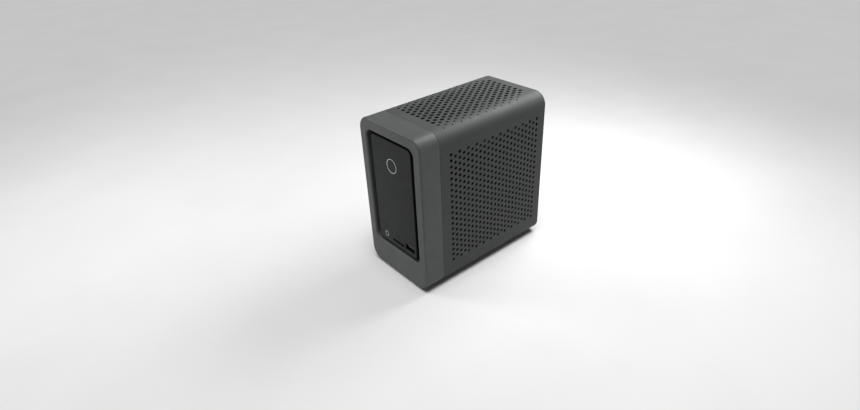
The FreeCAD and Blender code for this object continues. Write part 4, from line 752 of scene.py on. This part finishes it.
# x and y from the drive's tray side and rear end, z from its lower edge, finish, rounding
DRIVE_PLUG = (-4.9, -1.5, -5.6, 3.4, 14, 50, BLACK, 0.3)
DRIVE_FLEX_OUT = (-3.4, -3.15, 3.2, 8.4, 18, 46, FLEX, 0.0)
DRIVE_FLEX_DOWN = (-3.4, -0.5, 8.2, 8.45, 18, 46, FLEX, 0.0)
DRIVE_SOCKET = (-2.2, 0.1, 7.0, 10.4, 16, 48, BLACK, 0.25)


def drive_details():
    """A blank sticker on the drive, its plug, and the flat cable down to a socket in the tray."""
    face, tray_side, y0, y1, z0, z1 = span("storage_drive")
    model = Model("drive_details", TRAY)
    front, rear, inset, height = DRIVE_STICKER
    model.block(face - SUNK, face + height, y0 + front, y1 - rear, z0 + inset, z1 - inset, STICKER)
    front, rear, inset, height = DRIVE_PATCH
    model.block(face - 2 * SUNK, face + height, y0 + front, y0 + rear,
                z0 + inset, z1 - inset, DARK_STICKER)
    for part in (DRIVE_PLUG, DRIVE_FLEX_OUT, DRIVE_FLEX_DOWN, DRIVE_SOCKET):
        near, far, front, rear, low, high, finish, rounding = part
        model.block(tray_side + near, tray_side + far, y1 + front, y1 + rear,
                    z0 + low, z0 + high, finish, rounding)
    model.done()


# ---- wires --------------------------------------------------------------------------------
ANTENNA_RADIUS = 0.55
ANTENNA_LANE = 1.4                 # the wires lie side by side at this pitch
FOIL_HEIGHT = 1.2
FOIL_FROM_REAR = (44.0, 30.0)
FOIL_BELOW_TOP = (4.2, 0.6)
FOIL_ROUNDING = 0.2


def antenna_wires():
    """Two thin wires from the radio card, side by side, to foil antennas on the board's upper edge."""
    card_face, sockets = antenna_sockets()
    _, face, _, rear, _, top = span("main_board")
    for k, (y, z) in enumerate(sockets):
        lane = ANTENNA_LANE * k
        front = y - ANTENNA_INSET[0]
        cable("antenna_wire_%d" % (k + 1), TRAY, WIRE_SLEEVE, ANTENNA_RADIUS, [
            (card_face - 0.4, y, z),                              # in the socket
            (card_face + 2.0, front + 6.0, z + 1.5),              # off the card
            (card_face + 1.0, front + 22.0, top - 2.6 - lane),    # up to the board's edge
            (face + 2.2, front + 46.0, top - 1.6 - lane),         # along it
            (face + 1.6, rear - 34.0 - 9.0 * k, top - 1.5 - lane)])
    model = Model("antenna_foils", TRAY)
    foil_y = [rear - offset for offset in FOIL_FROM_REAR]
    foil_z = [top - offset for offset in FOIL_BELOW_TOP]
    model.block(face, face + FOIL_HEIGHT, *foil_y, *foil_z, TIN, FOIL_ROUNDING)
    model.done()


COOLER_RADIUS = 0.5
COOLER_WIRES = 4
COOLER_WIRE_PITCH = 2.4
FIRST_COOLER_WIRE = 1.6            # from the plug's front end
COOLER_PLUG_X = (2.8, 9.0)         # from the board's face
COOLER_PLUG_Y = (50.8, 61.2)
COOLER_PLUG_BELOW_TOP = (7.4, 3.8)
COOLER_PLUG_ROUNDING = 0.25


def cooler_cable():
    """The cooler fan's wires, from the frame's corner to the header behind the coils."""
    x0, x1, _, y1, _, z1 = span("cooler_fan_frame")
    _, face, _, _, _, top = span("main_board")
    plug_front, plug_rear = COOLER_PLUG_Y
    header_z = top - FAN_HEADER[1]
    for k in range(COOLER_WIRES):
        y = plug_front + FIRST_COOLER_WIRE + COOLER_WIRE_PITCH * k
        cable("cooler_wire_%d" % (k + 1), TRAY, WIRE_SLEEVE, COOLER_RADIUS, [
            ((x0 + x1) / 2, y1 - 8.0 + 0.9 * k, z1 - 1.0),        # out of the fan's frame
            (x1 - 6.0, y1 - 5.0 + 0.8 * k, z1 + 4.0 + 0.5 * k),   # over its upper edge
            (x0 - 10.0, y1 - 2.0 + k, z1 + 6.5),                  # back over the fins
            (face + 13.0, y, header_z),
            (face + 6.5, y, header_z)])
    model = Model("cooler_plug", TRAY)
    plug_x = [face + offset for offset in COOLER_PLUG_X]
    plug_z = [top - offset for offset in COOLER_PLUG_BELOW_TOP]
    model.block(*plug_x, plug_front, plug_rear, *plug_z, IVORY, COOLER_PLUG_ROUNDING)
    model.done()


CELL_RADIUS = 0.45
CELL_WIRE_Z = 21.4
CELL_WIRE_PITCH = 1.2
CELL_PLUG_HEIGHT = 3.2
CELL_PLUG_Y = (1.2, 4.6)           # from the board's front edge
CELL_PLUG_Z = (19.8, 24.2)
CELL_PLUG_ROUNDING = 0.2


def cell_cable():
    """The clock battery's two wires, round the tray's front edge to a small plug on the board."""
    _, cell_face, cell_front = span("coin_cell")[:3]
    _, face, front = span("main_board")[:3]
    tray_front = span("chassis_tray")[2]
    for k, sleeve in enumerate((RED_SLEEVE, WIRE_SLEEVE)):
        z = CELL_WIRE_Z + CELL_WIRE_PITCH * k
        cable("cell_wire_%d" % (k + 1), TRAY, sleeve, CELL_RADIUS, [
            (cell_face - 1.5, cell_front + 0.6, z + 1.0),     # out of the battery's wrap
            (cell_face - 0.9, cell_front - 6.0, z - 1.2),     # along the tray, a little wavy
            (cell_face - 0.7, tray_front + 22.0, z + 0.8),
            (cell_face - 0.6, tray_front + 3.0, z),
            (cell_face + 1.2, tray_front - 1.6, z),           # round its front edge
            (face - 1.0, tray_front - 1.2, z),
            (face + 1.8, front + 0.6, z),                     # into the plug
            (face + 1.6, front + 1.8, z)])
    model = Model("cell_plug", TRAY)
    plug_y = [front + offset for offset in CELL_PLUG_Y]
    model.block(face, face + CELL_PLUG_HEIGHT, *plug_y, *CELL_PLUG_Z, IVORY, CELL_PLUG_ROUNDING)
    model.done()


# ---- stickers and contacts ----------------------------------------------------------------
HUB_STICKER = (11.5, 0.08)     # radius, thickness
HUB_CENTRE = (7.0, 0.05)
HUB_SIDES = 48
HUB_CENTRE_SIDES = 40


def rotor_stickers():
    """Round blank stickers on the fan hubs."""
    face = span("cooler_fan_rotor")[1]
    _, y, z = joint_point("cooler_fan_spin")
    model = Model("cooler_hub_sticker", "cooler_rotor")
    model.rod("x", (face - SUNK, y, z), *HUB_STICKER, STICKER, sides=HUB_SIDES)
    model.rod("x", (face + THIN_FILM, y, z), *HUB_CENTRE, DARK_STICKER, sides=HUB_CENTRE_SIDES)
    model.done()
    top = span("exhaust_fan_rotor")[5]
    x, y, _ = joint_point("exhaust_fan_spin")
    model = Model("exhaust_hub_sticker", "exhaust_rotor")
    model.rod("z", (x, y, top - SUNK), *HUB_STICKER, DARK_STICKER, sides=HUB_SIDES)
    model.done()


# port, x of its tongue from the board, half the tongue's length, its thickness
TONGUES = (("hdmi_port", 2.6, 5.2, 1.4), ("display_port", 2.9, 5.6, 1.6))
TONGUE_FILM = 0.05
TONGUE_Y = (8.5, 1.8)          # inwards from the port's mouth
SPRING_X = (0.3, 0.75)
SPRING_Y = (6.0, 1.5)
SPRING_HALF = 0.9
SPRING_PLACE = 0.6             # share of the tongue's half length
SPRING_ROUNDING = 0.12
STACK_HEIGHT = 14.2
STACK_TONGUES = (4.6, 12.4)
STACK_PIN_X = (0.9, 1.15)      # from the tongue's place
STACK_PIN_Y = (9.0, 2.2)
FIRST_STACK_PIN = 3.3
USB_PIN_PITCH = 2.5
USB_PIN_HALF = 0.5
USB_PINS = 4


def port_contacts():
    """Gold contacts on the tongues of the rear ports, and springs in their shells."""
    model = Model("rear_port_contacts", TRAY)
    for node, tongue, half, thick in TONGUES:
        x0, _, _, mouth, z0, z1 = span(node)
        middle = (z0 + z1) / 2
        contact_y = [mouth - inwards for inwards in TONGUE_Y]
        spring_x = [x0 + offset for offset in SPRING_X]
        spring_y = [mouth - inwards for inwards in SPRING_Y]
        for side in (-1, 1):
            x = x0 + tongue + side * thick / 2
            model.block(x - TONGUE_FILM, x + TONGUE_FILM, *contact_y, middle - half, middle + half, GOLD)
            z = middle + side * half * SPRING_PLACE
            model.block(*spring_x, *spring_y, z - SPRING_HALF, z + SPRING_HALF, TIN, SPRING_ROUNDING)
    x0, _, _, mouth, z0, z1 = span("usb_stack_ports")
    pin_y = [mouth - inwards for inwards in STACK_PIN_Y]
    for low in (z0, z1 - STACK_HEIGHT):
        for tongue in STACK_TONGUES:
            pin_x = [x0 + tongue + offset for offset in STACK_PIN_X]
            for k in range(USB_PINS):
                z = low + FIRST_STACK_PIN + USB_PIN_PITCH * k
                model.block(*pin_x, *pin_y, z - USB_PIN_HALF, z + USB_PIN_HALF, GOLD)
    model.done()


FRONT_PIN_Y = (2.0, 9.0)                   # from the port's mouth
FRONT_PIN_Z = (2.6, 2.75)                  # from the port's lower edge
FRONT_SEED = 19
FRONT_PARTS = 26
FRONT_MARGIN = 4
FRONT_FULL = ((-12, -6), (10, 11.5))       # x where every place has a part
FRONT_PART_FROM_REAR = 1.8
FRONT_PART_SCATTER = 2.2
FRONT_CAP = (0.8, 0.4, 0.5, 0.06)          # half sizes along x and y, height, rounding
FRONT_BODY = (0.5, 0.38, 0.55, 0.0)
FRONT_CHIP_X = (-8.0, -3.0)
FRONT_CHIP_Y = (5.2, 0.8)                  # from the board's rear edge
FRONT_CHIP_HEIGHT = 1.0
FRONT_CHIP_ROUNDING = 0.1


def front_port_contacts():
    """Gold contacts on the front port's tongue and small parts on the front board."""
    dice = random.Random(FRONT_SEED)
    port_x0, port_x1, port_y0, _, port_z0, _ = span("front_usb_port")
    model = Model("front_port_parts", CASE)
    pin_y = [port_y0 + offset for offset in FRONT_PIN_Y]
    pin_z = [port_z0 + offset for offset in FRONT_PIN_Z]
    first = (port_x0 + port_x1) / 2 - USB_PIN_PITCH * (USB_PINS - 1) / 2
    for k in range(USB_PINS):
        x = first + USB_PIN_PITCH * k
        model.block(x - USB_PIN_HALF, x + USB_PIN_HALF, *pin_y, *pin_z, GOLD)
    x0, x1, _, rear, _, top = span("front_io_board")
    pitch = (x1 - x0 - 2 * FRONT_MARGIN) / (FRONT_PARTS - 1)
    for k in range(FRONT_PARTS):
        x = x0 + FRONT_MARGIN + pitch * k
        y = rear - FRONT_PART_FROM_REAR - dice.random() * FRONT_PART_SCATTER
        if k % 3 or any(low < x < high for low, high in FRONT_FULL):
            for size, finish in ((FRONT_CAP, TIN), (FRONT_BODY, RESISTOR)):
                half_x, half_y, height, rounding = size
                model.block(x - half_x, x + half_x, y - half_y, y + half_y,
                            top, top + height, finish, rounding)
    chip_y = [rear - offset for offset in FRONT_CHIP_Y]
    model.block(*FRONT_CHIP_X, *chip_y, top, top + FRONT_CHIP_HEIGHT, CHIP, FRONT_CHIP_ROUNDING)
    model.done()


RATING_HALF_WIDTH = 13
RATING_Y = (24, 9)             # from the shell's rear edge


def rating_sticker():
    """A blank silver sticker under the body, between the intake slots and the rear feet."""
    _, _, _, rear, low, _ = span("outer_shell")
    model = Model("rating_sticker", CASE)
    sticker_y = [rear - offset for offset in RATING_Y]
    model.block(-RATING_HALF_WIDTH, RATING_HALF_WIDTH, *sticker_y, low - PLATING, low + SUNK, STICKER)
    model.done()


def add_pieces():
    """Everything that the CAD frame doesn't have."""
    main_board_parts()
    board_headers()
    socket_frame()
    memory_details()
    stick_details()
    antenna_wires()
    cooler_cable()
    cell_cable()
    drive_details()
    rotor_stickers()
    port_contacts()
    front_port_contacts()
    rating_sticker()


# ---- studio -------------------------------------------------------------------------------
CAMERA_AZIMUTH = 51.285        # degrees round from straight in front, towards +X
CAMERA_ELEVATION = 31.22
CAMERA_ROLL = -2.86
CAMERA_DISTANCE = 0.54694      # metres from the point it looks at
LOOK_AT = Vector((-0.00674, -0.02926, 0.05699))
LENS = 23.07
SENSOR_W = 36.0
FLOOR_HALF = 6.0               # metres
FLOOR_ROUGHNESS = 0.85
FLOOR_TONES = ((0.54, 0.54, 0.54), (0.56, 0.56, 0.56))
WORLD_COLOUR = (0.98, 0.99, 1.0, 1)
WORLD_GLOW = 0.15              # light from the surroundings
BACKDROP = 0.80                # brightness of the surroundings where the camera sees past the floor
BODY_MIDDLE = Vector((0, 0, 0.08))     # metres


def aim(direction):
    """Turns a camera or a lamp, which look along their own -Z, to a direction."""
    return direction.to_track_quat("-Z", "Y")


def add_camera():
    """The main camera, on a sphere round the point it looks at."""
    data = bpy.data.cameras.new("camera")
    data.lens = LENS
    data.sensor_width = SENSOR_W
    camera = link(bpy.data.objects.new("camera", data))
    azimuth = math.radians(CAMERA_AZIMUTH)
    elevation = math.radians(CAMERA_ELEVATION)
    back = Vector((math.sin(azimuth) * math.cos(elevation),
                   -math.cos(azimuth) * math.cos(elevation),
                   math.sin(elevation)))
    roll = Matrix.Rotation(math.radians(CAMERA_ROLL), 3, "Z")
    turn = (aim(-back).to_matrix() @ roll).to_4x4()
    camera.matrix_world = Matrix.Translation(LOOK_AT + back * CAMERA_DISTANCE) @ turn
    bpy.context.scene.camera = camera


def add_floor():
    """A plain pale floor, which is staging and not a piece of the object."""
    mesh = bpy.data.meshes.new("floor")
    half = FLOOR_HALF
    corners = [(-half, -half, 0), (half, -half, 0), (half, half, 0), (-half, half, 0)]
    mesh.from_pydata(corners, [], [(0, 1, 2, 3)])
    f = Finish("floor_finish", edge=0.0)
    tone = f.blend(f.spread(f.noise(size=90, detail=3)), *FLOOR_TONES)
    mesh.materials.append(f.done(tone, FLOOR_ROUGHNESS))
    link(bpy.data.objects.new("floor", mesh))


def add_sun(name, strength, softness, direction):
    """Even light along one direction. Softness is its apparent width in degrees."""
    data = bpy.data.lights.new(name, "SUN")
    data.energy = strength
    data.angle = math.radians(softness)
    lamp = link(bpy.data.objects.new(name, data))
    lamp.rotation_euler = aim(Vector(direction)).to_euler()


def add_softbox(name, place, size, watts):
    """A round lamp at a place in metres, turned to the body."""
    data = bpy.data.lights.new(name, "AREA")
    data.shape = "DISK"
    data.size = size
    data.energy = watts
    lamp = link(bpy.data.objects.new(name, data))
    lamp.location = place
    lamp.rotation_euler = aim(BODY_MIDDLE - Vector(place)).to_euler()


def add_surroundings():
    """A dim glow on everything, and a pale backdrop that only the camera sees."""
    world = bpy.data.worlds.new("studio")
    world.use_nodes = True
    nodes, links = world.node_tree.nodes, world.node_tree.links
    background = nodes["Background"]
    background.inputs["Color"].default_value = WORLD_COLOUR
    seen = nodes.new("ShaderNodeLightPath").outputs["Is Camera Ray"]
    glow = nodes.new("ShaderNodeMapRange")
    glow.inputs["To Min"].default_value = WORLD_GLOW
    glow.inputs["To Max"].default_value = BACKDROP
    links.new(seen, glow.inputs["Value"])
    links.new(glow.outputs[0], background.inputs["Strength"])
    bpy.context.scene.world = world


def light_studio():
    """Soft light from above, and weaker ones from the front, the left and behind."""
    bpy.context.scene.view_settings.view_transform = "Standard"
    add_sun("key_light", strength=2.74, softness=28, direction=(-0.14, 0.12, -1.0))
    add_sun("fill_light", strength=0.12, softness=60, direction=(-0.30, 0.85, -0.45))
    add_softbox("left_light", place=(-0.40, -0.38, 0.47), size=0.20, watts=1.4)
    add_softbox("rear_light", place=(0.04, 0.27, 0.38), size=0.25, watts=1.95)


paint_nodes()
add_pieces()
add_surroundings()
light_studio()
add_floor()
add_camera()
